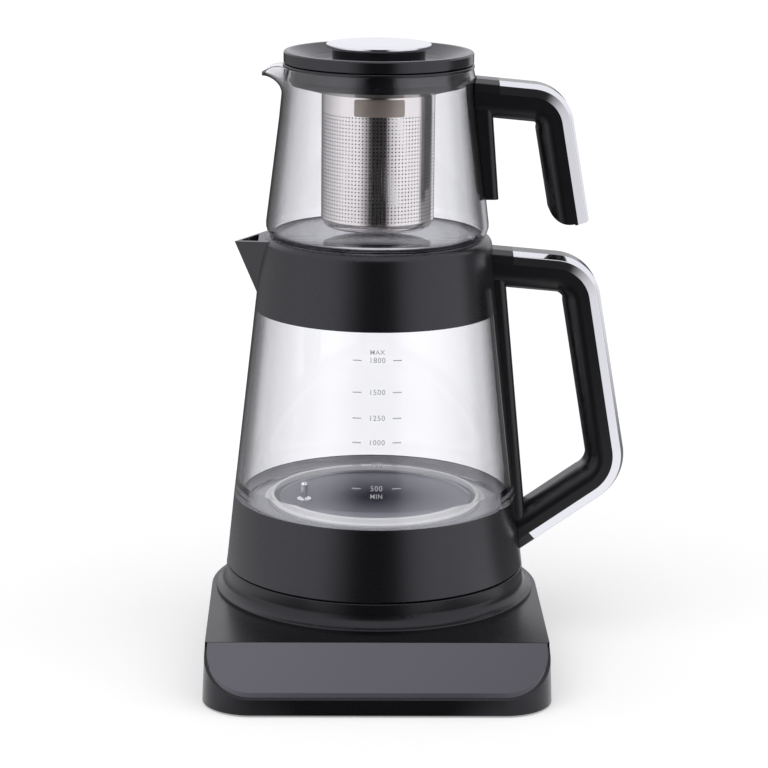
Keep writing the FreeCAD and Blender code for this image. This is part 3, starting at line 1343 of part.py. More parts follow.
def teapot_handle_path(body, start):
    """The line that the teapot handle's outer face follows."""
    return draw(sketch_on(body, "XZ_Plane"), [
        (start, teapot_arm_top(start)),
        (size.teapot_arm_reach, size.teapot_arm_height, size.teapot_bend),
        (size.teapot_grip_end_reach, size.teapot_grip_end_height)], closed=False)


def strap_section(body, height, inner, outer):
    """A level section of the strap along the vessel."""
    half = size.strap_depth / 2
    return draw(sketch_on(body, "XY_Plane", height), [
        (inner, half), (inner, -half), (outer, -half, size.strap_round), (outer, half, size.strap_round)])


def handle_screw_high():
    return size.glass_top + size.collar_seal_thickness + size.screw_head_radius + size.fit_gap * 2


def handle_screw_low():
    return kettle_root(size.kettle_trim_end) + size.handle_thickness / 3


def handle_hole(body, reach, height):
    """A level hole towards the handle for one of its screws."""
    start = size.seat_inner_radius + size.collar_lip_thickness * 2
    hole = draw_circle(sketch_on(body, "YZ_Plane", start), 0, height, size.screw_radius + size.fit_gap)
    extrude(body, hole, reach + size.screw_length - start, cut=True, reverse=True)


def make_kettle_handle():
    body = keep(new_body("kettle_handle_frame"))
    inside = collar_outside - size.shell_wall
    sweep(body, handle_profile(body, inside, kettle_arm_top(inside)),
          kettle_handle_path(body, inside, size.kettle_root_reach))
    low_inner = kettle_radius(size.kettle_strap_low) - size.glass_wall * 2
    high_inner = kettle_radius(size.kettle_strap_high) - size.glass_wall * 2
    loft(body, [strap_section(body, size.kettle_strap_low, low_inner, size.kettle_strap_low_reach),
                strap_section(body, size.kettle_strap_high, high_inner, size.kettle_strap_high_reach)])
    sweep(body, trim_recess_profile(body, size.kettle_trim_start, kettle_arm_top(size.kettle_trim_start)),
          kettle_handle_path(body, size.kettle_trim_start, size.kettle_trim_end), cut=True)
    # the inner side follows the kettle's own outline
    air = size.fit_gap
    below = size.kettle_bottom - size.shell_wall * 4
    above = size.collar_top + size.handle_thickness
    revolve(body, draw(sketch_on(body, "XZ_Plane"), [
        (0, below), (size.kettle_bottom_radius + air, below),
        (size.kettle_bottom_radius + air, size.kettle_bottom), (size.shell_top_radius + air, size.shell_top),
        (size.collar_bottom_radius + air, size.collar_bottom),
        (kettle_radius(above) + air, above), (0, above)]), cut=True)
    handle_hole(body, size.kettle_bottom_radius, handle_screw_low())
    handle_hole(body, size.collar_bottom_radius, handle_screw_high())

    trim = keep(new_body("kettle_handle_trim"))
    start = size.kettle_trim_start + size.fit_gap
    end = size.kettle_trim_end + size.fit_gap
    sweep(trim, trim_profile(trim, start, kettle_arm_top(start)), kettle_handle_path(trim, start, end))
    inlay = keep(new_body("kettle_handle_inlay"))
    sweep(inlay, inlay_profile(inlay, start, kettle_arm_top(start)), kettle_handle_path(inlay, start, end))


def make_kettle_handle_screws():
    """Two screws from inside the collar and the base shell into the handle."""
    screws = []
    spots = (("high", handle_screw_high(), kettle_radius(handle_screw_high()), size.collar_skirt),
             ("low", handle_screw_low(), shell_radius(handle_screw_low()), size.shell_wall))
    for name, height, outside, wall in spots:
        lean = cone_slope * size.screw_head_radius
        head_at = outside - wall - lean - size.fit_gap * 2 - size.screw_head_height
        head = rod("handle_screw_head_" + name, size.screw_head_radius, size.screw_head_height,
                   head_at, 0, height)
        shank = rod("handle_screw_shank_" + name, size.screw_radius, size.screw_length,
                    head_at, 0, height)
        for part in (head, shank):
            part.Placement.Rotation = FreeCAD.Rotation(Vector(0, 1, 0), 90)
        screws.append(fused("handle_screw_" + name, [head, shank]))
    return group("kettle_handle_screws", screws)


# ------------------------------------------------------------------ teapot

def lip_section(body, height, reach, half):
    """A level section of the pouring lip: a rounded point towards the spout side."""
    inner = size.teapot_neck_radius - size.teapot_wall * 3
    return draw(sketch_on(body, "XY_Plane", height), [
        (-inner, half), (-inner, -half), (-reach, -half * 0.2, half * 0.19), (-reach, half * 0.2, half * 0.19)])


def make_teapot_glass():
    body = keep(new_body("teapot_glass"))
    wall = size.teapot_wall
    rim = size.teapot_rim
    neck = size.teapot_neck_radius
    half = size.lip_half_width
    bend = size.teapot_shoulder_round
    above = rim + wall
    # the lip as a solid wedge that droops to its tip, then the pot as a solid
    root_height = rim - size.lip_drop
    under_height = rim - size.lip_drop * 0.71
    tip_height = rim - size.lip_tip_drop
    under_reach = neck + size.lip_length * 0.22
    loft(body, [lip_section(body, root_height, neck, half * 0.45),
                lip_section(body, under_height, under_reach, half * 0.65),
                lip_section(body, tip_height, size.lip_reach, half * 0.9),
                lip_section(body, above, size.lip_reach + wall / 2, half)])
    revolve(body, draw(sketch_on(body, "XZ_Plane"), [
        (0, size.teapot_bottom), (size.teapot_foot_radius, size.teapot_bottom, size.teapot_foot_round),
        (size.teapot_shoulder_radius, size.teapot_shoulder_height, bend),
        (neck, size.teapot_neck_bottom, bend), (neck, size.teapot_neck_top, size.teapot_mouth_round),
        (size.teapot_mouth_radius, rim, 1.0), (0, rim)]))
    # the inside of the pot, then the channel of the lip
    floor = size.teapot_bottom + size.teapot_floor
    inside = neck - wall
    mouth = size.teapot_mouth_radius - wall
    revolve(body, draw(sketch_on(body, "XZ_Plane"), [
        (0, floor), (teapot_radius(floor) - wall, floor, size.teapot_foot_round - wall),
        (size.teapot_shoulder_radius - wall, size.teapot_shoulder_height, bend),
        (inside, size.teapot_neck_bottom, bend), (inside, size.teapot_neck_top, size.teapot_mouth_round),
        (mouth, rim), (mouth, above), (0, above)]), cut=True)
    thin = size.lip_wall
    loft(body, [lip_section(body, root_height + thin * 0.5, neck - thin * 0.9, half * 0.45 - thin * 0.8),
                lip_section(body, under_height + thin * 0.8, under_reach - thin * 0.7,
                            half * 0.65 - thin * 0.8),
                lip_section(body, tip_height + thin * 0.8, size.lip_reach - thin * 1.2,
                            half * 0.9 - thin * 0.8),
                lip_section(body, above, size.lip_reach, half - thin * 0.7)], cut=True)
    # the lip's edge falls from its crest to its tip
    step = size.holder_flange_radius + size.lift_gap
    crest = rim + size.lip_crest_rise
    crest_reach = neck + size.lip_length * 0.14
    knee_reach = neck + size.lip_length * 0.44
    knee = rim - size.lip_tip_drop * 0.12
    past = size.lip_reach + wall
    fall = (knee - tip_height) / (size.lip_reach - knee_reach)
    edge = draw(sketch_on(body, "XZ_Plane"), [
        (-past, tip_height - fall * wall), (-knee_reach, knee), (-crest_reach, crest), (-step, crest),
        (-step, rim), (0, rim), (0, above + wall), (-past, above + wall)])
    extrude(body, edge, half * 3, cut=True, symmetric=True)
    return body


def make_teapot_handle():
    body = keep(new_body("teapot_handle_frame"))
    inside = size.teapot_neck_radius - size.teapot_wall * 2
    sweep(body, handle_profile(body, inside, teapot_arm_top(inside)), teapot_handle_path(body, inside))
    low_inner = teapot_radius(size.teapot_strap_low) - size.teapot_wall * 2
    loft(body, [strap_section(body, size.teapot_strap_low, low_inner, size.teapot_strap_low_reach),
                strap_section(body, size.teapot_strap_high, inside, size.teapot_strap_high_reach)])
    sweep(body, trim_recess_profile(body, size.teapot_trim_start, teapot_arm_top(size.teapot_trim_start)),
          teapot_handle_path(body, size.teapot_trim_start), cut=True)
    round_grip_end(body)
    air = size.bond_thickness
    below = size.teapot_bottom
    above = size.teapot_rim + size.handle_thickness
    revolve(body, draw(sketch_on(body, "XZ_Plane"), [
        (0, below), (size.teapot_foot_radius + air, below),
        (size.teapot_shoulder_radius + air, size.teapot_shoulder_height),
        (size.teapot_neck_radius + air, size.teapot_neck_bottom),
        (size.teapot_neck_radius + air, above), (0, above)]), cut=True)

    trim = keep(new_body("teapot_handle_trim"))
    start = size.teapot_trim_start + size.fit_gap
    sweep(trim, trim_profile(trim, start, teapot_arm_top(start)), teapot_handle_path(trim, start))
    inlay = keep(new_body("teapot_handle_inlay"))
    sweep(inlay, inlay_profile(inlay, start, teapot_arm_top(start)), teapot_handle_path(inlay, start))


def round_grip_end(body):
    """Rounds the hook's lower corner on the side of the fingers."""
    run = size.teapot_grip_lean
    drop = size.teapot_arm_height - size.teapot_grip_end_height
    length = root(run * run + drop * drop)
    along = (run / length, -(drop / length))
    inward = (along[1], -along[0])
    corner = [end + way * size.handle_thickness for end, way in
              zip((size.teapot_grip_end_reach, size.teapot_grip_end_height), inward)]
    tool = size.grip_end_round + size.trim_wall
    spare = size.trim_wall * 4

    def spot(ahead, sideways):
        return [c + a * ahead + i * sideways for c, a, i in zip(corner, along, inward)]

    corner_cut = draw(sketch_on(body, "XZ_Plane"), [
        spot(-tool, 0), (corner[0], corner[1], size.grip_end_round), spot(0, -tool), spot(spare, -tool),
        spot(spare, spare), spot(-tool, spare)])
    extrude(body, corner_cut, size.handle_depth * 2, cut=True, symmetric=True)


def make_teapot_handle_bond():
    """The thin layer that bonds the strap to the glass."""
    body = keep(new_body("teapot_handle_bond"))
    air = size.fit_gap
    thick = size.bond_thickness - size.fit_gap
    low = size.teapot_strap_low + size.strap_round
    high = size.teapot_shoulder_height - size.strap_round
    outer_low = teapot_radius(low)
    outer_high = teapot_radius(high)
    ring = draw(sketch_on(body, "XZ_Plane"), [
        (outer_low + air, low), (outer_low + thick, low), (outer_high + thick, high),
        (outer_high + air, high)])
    feature = revolve(body, ring)
    feature.Angle = 20.0
    feature.Midplane = True
    return body


# ----------------------------------------------------------------- infuser

def make_infuser_basket():
    sheet = size.basket_sheet
    rim = size.holder_ledge_height + size.fit_gap
    return turned("infuser_basket", [
        (0, size.basket_bottom), (size.basket_radius, size.basket_bottom, size.basket_corner),
        (size.basket_radius, rim), (size.basket_flange_radius, rim),
        (size.basket_flange_radius, rim + sheet), (size.basket_radius - sheet, rim + sheet),
        (size.basket_radius - sheet, size.basket_bottom + sheet, size.basket_corner - sheet),
        (0, size.basket_bottom + sheet)])


def make_infuser_holder():
    """A funnel that rests on the teapot's rim and carries the basket."""
    under_flange = size.teapot_rim + size.lift_gap
    ledge = size.holder_ledge_height
    bore = size.basket_radius + size.fit_gap * 3
    cup = size.basket_flange_radius + size.fit_gap * 3
    wall = size.holder_wall
    return turned("infuser_holder", [
        (size.holder_skirt_radius, under_flange), (size.holder_flange_radius, under_flange),
        (size.holder_flange_radius, size.holder_top, 0.6), (size.holder_inner_radius, size.holder_top),
        (size.holder_inner_radius, size.holder_recess_bottom), (cup, ledge + wall * 0.6), (cup, ledge),
        (bore, ledge), (bore, ledge - wall), (cup, ledge - wall),
        (size.holder_skirt_radius, size.holder_recess_bottom - wall * 1.2)])


def make_infuser_seal():
    low = size.holder_recess_bottom - size.holder_wall * 0.6
    return turned("infuser_seal", [
        (size.holder_skirt_radius + size.fit_gap, low), (size.infuser_seal_radius, low + 0.4),
        (size.infuser_seal_radius, low + 1.4), (size.holder_skirt_radius + size.fit_gap, low + 1.8)])


# --------------------------------------------------------------------- lid

def make_lid_underside():
    """The plug under the cover, inside the infuser's holder."""
    hole = size.screw_radius + size.fit_gap
    head = size.screw_head_radius + size.fit_gap
    counter = size.lid_plug_bottom + size.screw_head_height + size.fit_gap
    return turned("lid_underside", [
        (hole, counter), (head, counter), (head, size.lid_plug_bottom),
        (size.lid_plug_radius, size.lid_plug_bottom, 0.8), (size.lid_plug_radius, size.lid_joint),
        (hole, size.lid_joint)])


def make_lid_seal():
    middle = (size.lid_plug_bottom + size.holder_top) / 2
    half = size.lid_seal_thickness / 2
    return turned("lid_seal", [
        (size.lid_plug_radius + size.fit_gap, middle - half), (size.lid_seal_radius, middle - half / 2),
        (size.lid_seal_radius, middle + half / 2), (size.lid_plug_radius + size.fit_gap, middle + half)])


def make_lid_cover():
    """The lid's black cover: a plain rim round a dished top."""
    hole = size.screw_radius + size.fit_gap
    rim_inside = size.lid_radius - size.lid_rim_width
    return turned("lid_cover", [
        (hole, size.lid_joint), (size.lid_radius, size.lid_joint, 1.0), (size.lid_radius, size.lid_top, 1.2),
        (rim_inside, size.lid_top, 0.8), (size.lid_dish_radius, size.lid_dish_height, 2.0),
        (hole, size.lid_dish_height)])


def make_lid_knob():
    hole = size.screw_radius + size.fit_gap
    stem_top = size.knob_cap_bottom
    deep = size.lid_dish_height + (stem_top - size.lid_dish_height) * 0.7
    turned("lid_knob_stem", [
        (0, deep), (hole, deep), (hole, size.lid_dish_height), (size.knob_radius, size.lid_dish_height),
        (size.knob_radius, stem_top), (0, stem_top)])
    edge = stem_top + size.knob_cap_edge
    crown = edge + size.knob_cap_dome
    turned("lid_knob_cap", [
        (0, stem_top), (size.knob_cap_radius, stem_top, size.knob_cap_round),
        (size.knob_cap_radius, edge, 0.5), (size.knob_cap_radius * 0.6, crown, 30), (0, crown)])


def make_lid_knob_screw():
    deep = size.lid_dish_height + (size.knob_cap_bottom - size.lid_dish_height) * 0.7 - size.fit_gap
    foot = size.lid_plug_bottom + size.fit_gap / 2
    head = rod("knob_screw_head", size.screw_head_radius, size.screw_head_height, 0, 0, foot)
    shank = rod("knob_screw_shank", size.screw_radius, deep - foot, 0, 0, foot)
    return keep(fused("lid_knob_screw", [head, shank]))


# ------------------------------------------------------------ build and write

def build():
    make_base_top_housing()
    make_base_bottom_cover()
    make_touch_panel()
    make_touch_board()
    make_touch_key_springs()
    make_power_board()
    make_board_parts()
    make_base_coupler()
    make_coupler_contacts()
    make_base_feet()
    make_base_screws()
    make_cord_gland()
    make_kettle_coupler()
    make_thermal_control()
    make_kettle_base_shell()
    make_kettle_bottom_cover()
    make_kettle_bottom_screws()
    make_kettle_glass()
    make_heater_seal()
    make_heater_plate()
    make_clamp_ring()
    make_heat_diffuser()
    make_heating_element()
    make_temperature_probe()
    make_probe_nut()
    make_kettle_collar()
    make_collar_seal()
    make_kettle_handle()
    make_kettle_handle_screws()
    make_teapot_glass()
    make_teapot_handle()
    make_teapot_handle_bond()
    make_infuser_basket()
    make_infuser_holder()
    make_infuser_seal()
    make_lid_underside()
    make_lid_seal()
    make_lid_cover()
    make_lid_knob()
    make_lid_knob_screw()


def check():
    """Stops before anything is written if a feature failed or a shape is bad."""
    for item in doc.Objects:
        if "Invalid" in item.State or "Error" in item.State:
            raise RuntimeError("%s failed: %s" % (item.Label, item.State))
    for piece in pieces:
        if piece.Shape.isNull() or not piece.Shape.isValid() or not piece.Shape.Solids:
            raise RuntimeError("%s has a bad shape" % piece.Label)


def write():
    os.makedirs("parts", exist_ok=True)
    for piece in pieces:
        piece.Shape.exportStep("parts/%s.step" % piece.Label)
        box = piece.Shape.BoundBox
        print("%-24s %2d solid(s)  %9.1f mm3  z %.1f to %.1f"
              % (piece.Label, len(piece.Shape.Solids), piece.Shape.Volume, box.ZMin, box.ZMax))


build()
doc.recompute()
check()
write()
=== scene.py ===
# %% [markdown]
# # Automatic tea maker
#
# A glass kettle stands on a power base with a sloping touch panel, and a small
# glass teapot stands in the kettle's collar. Inside the teapot hangs a steel
# infuser, and a lid with a flat chrome knob closes it.
#
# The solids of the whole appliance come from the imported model, in metres and in
# their final places. This lesson gives them their finishes, and makes again, in
# finer detail, the few pieces that a plain solid can't show.

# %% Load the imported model
import bpy
import bmesh
import math
from mathutils import Vector, Matrix


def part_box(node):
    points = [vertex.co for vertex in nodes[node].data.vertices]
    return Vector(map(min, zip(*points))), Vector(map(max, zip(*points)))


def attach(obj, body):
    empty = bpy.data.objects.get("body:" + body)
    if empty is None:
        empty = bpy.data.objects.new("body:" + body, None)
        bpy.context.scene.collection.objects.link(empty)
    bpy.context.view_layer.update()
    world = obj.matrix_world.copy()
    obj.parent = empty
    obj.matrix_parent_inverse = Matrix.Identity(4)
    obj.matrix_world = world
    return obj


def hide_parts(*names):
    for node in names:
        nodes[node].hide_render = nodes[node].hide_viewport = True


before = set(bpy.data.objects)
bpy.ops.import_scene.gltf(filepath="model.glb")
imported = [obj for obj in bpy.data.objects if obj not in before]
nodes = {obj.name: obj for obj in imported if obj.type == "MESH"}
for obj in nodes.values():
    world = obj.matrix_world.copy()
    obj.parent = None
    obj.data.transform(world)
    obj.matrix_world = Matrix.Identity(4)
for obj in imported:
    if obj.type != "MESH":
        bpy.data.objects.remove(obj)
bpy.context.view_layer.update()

# %% [markdown]
# ## Camera
#
# The product stands upright and is seen from a little above, through a long
# lens. A long lens from far away keeps the sides nearly parallel, as in a
# catalogue. The camera is aimed with a direction and an up vector, and then
# rolled by a fraction of a degree about its own line of sight.

# %% Camera
PITCH = math.radians(13.57)
AZIMUTH = math.radians(-1.35)
ROLL = math.radians(0.57)
DISTANCE = 1.6225
LENS = 128.9
ASIDE = 0.0048
AIM_HEIGHT = 0.1558

camera = bpy.data.objects.new("camera", bpy.data.cameras.new("camera"))
bpy.context.scene.collection.objects.link(camera)
bpy.context.scene.camera = camera
camera.data.sensor_width = 36.0
camera.data.lens = LENS
rightwards = Vector((math.cos(AZIMUTH), math.sin(AZIMUTH), 0))
backwards = Vector((math.sin(AZIMUTH) * math.cos(PITCH), -math.cos(AZIMUTH) * math.cos(PITCH),
                    math.sin(PITCH)))
target = rightwards * ASIDE + Vector((0, 0, AIM_HEIGHT))
camera.location = target + backwards * DISTANCE
look = (target - camera.location).to_track_quat("-Z", "Y")
camera.rotation_mode = "QUATERNION"
camera.rotation_quaternion = look @ Matrix.Rotation(ROLL, 4, "Z").to_quaternion()
camera.data.clip_end = 100
bpy.context.scene.view_settings.view_transform = "Standard"
print("camera at", [round(v, 3) for v in camera.location])

# %% [markdown]
# ## Floor, sky and lamps
#
# A catalogue picture has a white ground that fades into a white background,
# with a soft shadow under the product. The floor is a wide pale plane. Its own
# diffuse colour keeps the shadow, and a little emission, seen only by the
# camera and through glass, brings its open part up to white.
#
# Glass and chrome have no colour of their own: they show the room. So the sky
# is drawn as a studio would be, with tall bright panels and dark gaps between
# them, by the direction that a reflected ray leaves in. Lamps light the matt
# surfaces, and are hidden from reflections.

# %% Node helpers
def node_of(tree, kind, **values):
    """Adds a node; names with a capital set input sockets, the others attributes."""
    node = tree.nodes.new(kind)
    for name, value in values.items():
        if name[0].isupper():
            node.inputs[name.replace("_", " ")].default_value = value
        else:
            setattr(node, name, value)
    return node


def math_of(tree, operation, *values):
    """A Math node; each value is a number or the socket that feeds it."""
    node = tree.nodes.new("ShaderNodeMath")
    node.operation = operation
    for socket, value in zip(node.inputs, values):
        if isinstance(value, (int, float)):
            socket.default_value = value
        else:
            tree.links.new(value, socket)
    return node.outputs[0]


def own_place(tree):
    """Object coordinates: on these pieces, metres in the appliance's own frame."""
    return tree.nodes.new("ShaderNodeTexCoord").outputs["Object"]


def mirrored_rays(tree):
    """One for a ray that has left a shiny surface, even if it passed glass since."""
    path = tree.nodes.new("ShaderNodeLightPath")
    return math_of(tree, "GREATER_THAN", path.outputs["Glossy Depth"], 0.5)


def seen_rays(tree, *kinds):
    """One where a ray is of one of the given kinds, else zero."""
    path = tree.nodes.new("ShaderNodeLightPath")
    total = path.outputs[kinds[0]]
    for kind in kinds[1:]:
        total = math_of(tree, "MAXIMUM", total, path.outputs[kind])
    return total


def mixed(tree, factor, one, other):
    """Mix Shader between two shader sockets."""
    node = tree.nodes.new("ShaderNodeMixShader")
    tree.links.new(factor, node.inputs[0])
    tree.links.new(one, node.inputs[1])
    tree.links.new(other, node.inputs[2])
    return node.outputs[0]


print("helpers ready")

# %% [markdown]
# The studio itself is one node group: it takes a direction and puts out the
# brightness of the panel that stands there, and how far above the panel's top
# edge the direction points. 0 degrees is the side that the touch panel faces,
# and 90 degrees is the handles' side. Each row of the table is an angle, a
# brightness and a top edge, the last as the sine of its elevation. Both the sky
# and the floor use the group, because the appliance's upright walls mirror the
# floor and its level tops mirror the sky. A black card stands in front, as in
# most pictures of glass and steel: it draws the dark band down the middle.
#
# The top edge travels in the ramp's alpha. Alpha can't be negative, so a shift
# is added to it here and to the direction's height below.

# %% Studio panels
PANELS = [(-180, 0.08, -0.02), (-160, 0.08, -0.02), (-145, 0.30, 0.10), (-112, 0.62, 0.25),
          (-74, 0.95, 0.30), (-40, 0.97, 0.30), (-15, 0.02, 0.50), (15, 0.02, 0.50),
          (24, 0.66, 0.50), (40, 0.98, 0.30), (88, 1.00, 0.30), (98, 0.24, 0.25),
          (136, 0.15, 0.10), (142, 0.85, 0.02), (152, 0.85, 0.02), (164, 0.08, -0.02),
          (180, 0.08, -0.02)]
TOP_SHIFT = 0.1
BLUE_CAST = 1.03

panels = bpy.data.node_groups.new("studio_panels", "ShaderNodeTree")
panels.interface.new_socket("Direction", in_out="INPUT", socket_type="NodeSocketVector")
panels.interface.new_socket("Colour", in_out="OUTPUT", socket_type="NodeSocketColor")
panels.interface.new_socket("Above", in_out="OUTPUT", socket_type="NodeSocketFloat")
p_in, p_out = panels.nodes.new("NodeGroupInput"), panels.nodes.new("NodeGroupOutput")
split = panels.nodes.new("ShaderNodeSeparateXYZ")
panels.links.new(p_in.outputs["Direction"], split.inputs[0])
turn = math_of(panels, "ARCTAN2", split.outputs["X"],
               math_of(panels, "MULTIPLY", split.outputs["Y"], -1.0))
share = math_of(panels, "ADD", math_of(panels, "DIVIDE", turn, math.tau), 0.5)
ramp = panels.nodes.new("ShaderNodeValToRGB")
panels.links.new(share, ramp.inputs["Fac"])
steps = ramp.color_ramp.elements
for angle, level, top in PANELS:
    place = angle / 360 + 0.5
    step = steps[0] if place == 0 else steps[-1] if place == 1 else steps.new(place)
    step.position = place
    step.color = (level, level, level * BLUE_CAST, top + TOP_SHIFT)
panels.links.new(ramp.outputs["Color"], p_out.inputs["Colour"])
over = math_of(panels, "SUBTRACT", math_of(panels, "ADD", split.outputs["Z"], TOP_SHIFT),
               ramp.outputs["Alpha"])
panels.links.new(over, p_out.inputs["Above"])
print("panels:", len(steps))

# %% [markdown]
# What the floor shows depends on the ray that meets it. Diffuse light meets a
# pale paint, which holds the soft shadow. The camera and rays through glass see
# that paint with a little glow. Rays from shiny surfaces see the studio's panels
# instead, laid out round the appliance by direction.

# %% Floor
FLOOR_HALF = 9.0
FLOOR_GLOW = 0.30

floor_mesh = bmesh.new()
bmesh.ops.create_grid(floor_mesh, x_segments=1, y_segments=1, size=FLOOR_HALF)
floor_data = bpy.data.meshes.new("floor")
floor_mesh.to_mesh(floor_data)
floor_mesh.free()
floor = bpy.data.objects.new("floor", floor_data)
bpy.context.scene.collection.objects.link(floor)

floor_white = bpy.data.materials.new("floor_white")
floor_white.use_nodes = True
tree = floor_white.node_tree
paint = tree.nodes["Principled BSDF"]
paint.inputs["Base Color"].default_value = (0.80, 0.80, 0.81, 1)
paint.inputs["Roughness"].default_value = 0.9
paint.inputs["Specular IOR Level"].default_value = 0.0
paint.inputs["Emission Color"].default_value = (1, 1, 1, 1)
glow = math_of(tree, "MULTIPLY", seen_rays(tree, "Is Camera Ray", "Is Transmission Ray"), FLOOR_GLOW)
tree.links.new(glow, paint.inputs["Emission Strength"])
mirrored = tree.nodes.new("ShaderNodeGroup")
mirrored.node_tree = panels
tree.links.new(own_place(tree), mirrored.inputs["Direction"])
card = node_of(tree, "ShaderNodeEmission", Strength=1.0)
tree.links.new(mirrored.outputs["Colour"], card.inputs["Color"])
tree.links.new(mixed(tree, mirrored_rays(tree), paint.outputs[0], card.outputs[0]),
               tree.nodes["Material Output"].inputs["Surface"])
floor_data.materials.append(floor_white)
print("floor:", FLOOR_HALF * 2, "m wide")

# %% [markdown]
# The sky is divided in the same way. The camera and rays through glass see plain
# white, shiny surfaces see the panels with a pale ceiling above their top edges,
# and everything else gets an even fill.

# %% Sky
SKY_FILL = 0.55
CEILING = (0.93, 0.93, 0.97, 1)
CEILING_BLEND = (-0.03, 0.05)

world = bpy.data.worlds.new("studio")
bpy.context.scene.world = world
world.use_nodes = True
tree = world.node_tree
mirrored = tree.nodes.new("ShaderNodeGroup")
mirrored.node_tree = panels
tree.links.new(tree.nodes.new("ShaderNodeTexCoord").outputs["Generated"], mirrored.inputs["Direction"])
overhead = node_of(tree, "ShaderNodeMapRange", From_Min=CEILING_BLEND[0], From_Max=CEILING_BLEND[1])
tree.links.new(mirrored.outputs["Above"], overhead.inputs["Value"])
room = node_of(tree, "ShaderNodeMix", data_type="RGBA")
tree.links.new(overhead.outputs[0], room.inputs["Factor"])
tree.links.new(mirrored.outputs["Colour"], room.inputs[6])
room.inputs[7].default_value = CEILING
studio = node_of(tree, "ShaderNodeBackground", Strength=1.0)
tree.links.new(room.outputs[2], studio.inputs["Color"])
plain = node_of(tree, "ShaderNodeBackground", Color=(1, 1, 1, 1), Strength=1.0)
fill = node_of(tree, "ShaderNodeBackground", Color=(1, 1, 1, 1), Strength=SKY_FILL)
seen = mixed(tree, seen_rays(tree, "Is Camera Ray", "Is Transmission Ray"), fill.outputs[0],
             plain.outputs[0])
tree.links.new(mixed(tree, mirrored_rays(tree), seen, studio.outputs[0]),
               tree.nodes["World Output"].inputs[0])
print("sky fill:", SKY_FILL)

# %% [markdown]
# Two wide, distant lamps model the matt surfaces: a key from the front left and
# a weaker one from the right. Only the way they point matters, not their place.

# %% Lamps
def sun(name, strength, spread, azimuth, elevation):
    """A wide, distant lamp; azimuth 0 shines from the camera's side, 90 from +X."""
    lamp = bpy.data.objects.new(name, bpy.data.lights.new(name, "SUN"))
    lamp.data.energy = strength
    lamp.data.angle = math.radians(spread)
    a, e = math.radians(azimuth), math.radians(elevation)
    towards = Vector((math.sin(a) * math.cos(e), -math.cos(a) * math.cos(e), math.sin(e)))
    lamp.rotation_mode = "QUATERNION"
    lamp.rotation_quaternion = towards.to_track_quat("Z", "Y")
    lamp.visible_glossy = False
    bpy.context.scene.collection.objects.link(lamp)
    return lamp


sun("key_lamp", 1.0, 60, -35, 55)
sun("side_lamp", 0.55, 60, 60, 45)

# %% [markdown]
# ## Shared effects
#
# Several finishes share one effect, so each effect is a node group that is
# built once and placed where it is wanted. A group here only puts out numbers
# that change over the surface; the shader itself stays in the material. All of
# them read Object coordinates, which on these pieces are metres in the
# appliance's own frame.
#
# Moulded plastic has a fine spark-eroded grain, and slow patches where the
# surface is a little more or less polished by hands.

# %% Moulded grain
def new_group(name, inputs, outputs):
    """A shader node group with number sockets, and its inside ends."""
    group = bpy.data.node_groups.new(name, "ShaderNodeTree")
    for label, value in inputs:
        socket = group.interface.new_socket(label, in_out="INPUT", socket_type="NodeSocketFloat")
        socket.default_value = value
    for label in outputs:
        group.interface.new_socket(label, in_out="OUTPUT", socket_type="NodeSocketFloat")
    return group, group.nodes.new("NodeGroupInput"), group.nodes.new("NodeGroupOutput")


GRAIN_SHARE = 0.08

grain, g_in, g_out = new_group(
    "moulded_grain", [("Grains per metre", 2600.0), ("Polish", 0.42), ("Wear", 0.06)],
    ["Height", "Roughness"])
where = own_place(grain)
pits = node_of(grain, "ShaderNodeTexNoise", Detail=3.0, Roughness=0.6)
grain.links.new(where, pits.inputs["Vector"])
grain.links.new(g_in.outputs["Grains per metre"], pits.inputs["Scale"])
grain.links.new(pits.outputs["Fac"], g_out.inputs["Height"])
patches = node_of(grain, "ShaderNodeTexNoise", Scale=28.0, Detail=4.0, Roughness=0.55)
grain.links.new(where, patches.inputs["Vector"])
shift = math_of(grain, "MULTIPLY", math_of(grain, "SUBTRACT", patches.outputs["Fac"], 0.5),
                g_in.outputs["Wear"])
fine = math_of(grain, "MULTIPLY", math_of(grain, "SUBTRACT", pits.outputs["Fac"], 0.5), GRAIN_SHARE)
level = math_of(grain, "ADD", g_in.outputs["Polish"], math_of(grain, "ADD", shift, fine))
grain.links.new(level, g_out.inputs["Roughness"])
print("group:", grain.name)

# %% [markdown]
# Turned and spun metal has fine rings that run round its axis. The noise is
# read by the distance from the axis and by the height alone, so it comes out as
# rings on a plate and as hoops on a wall, and a little of the angle breaks
# them up.

# %% Turned lines
ANGLE_WEIGHT = 1.4
TINT_LOW, TINT_SPAN = 0.94, 0.1

turned, t_in, t_out = new_group(
    "turned_lines", [("Lines per metre", 4200.0), ("Polish", 0.2), ("Wear", 0.08)],
    ["Height", "Roughness", "Tint"])
split = turned.nodes.new("ShaderNodeSeparateXYZ")
turned.links.new(own_place(turned), split.inputs[0])
reach = math_of(turned, "SQRT", math_of(
    turned, "ADD", math_of(turned, "MULTIPLY", split.outputs["X"], split.outputs["X"]),
    math_of(turned, "MULTIPLY", split.outputs["Y"], split.outputs["Y"])))
angle = math_of(turned, "ARCTAN2", split.outputs["Y"], split.outputs["X"])
rings = turned.nodes.new("ShaderNodeCombineXYZ")
turned.links.new(math_of(turned, "MULTIPLY", reach, t_in.outputs["Lines per metre"]), rings.inputs["X"])
turned.links.new(math_of(turned, "MULTIPLY", angle, ANGLE_WEIGHT), rings.inputs["Y"])
turned.links.new(math_of(turned, "MULTIPLY", split.outputs["Z"], t_in.outputs["Lines per metre"]),
                 rings.inputs["Z"])
lines = node_of(turned, "ShaderNodeTexNoise", Scale=1.0, Detail=2.0, Roughness=0.7)
turned.links.new(rings.outputs[0], lines.inputs["Vector"])
turned.links.new(lines.outputs["Fac"], t_out.inputs["Height"])
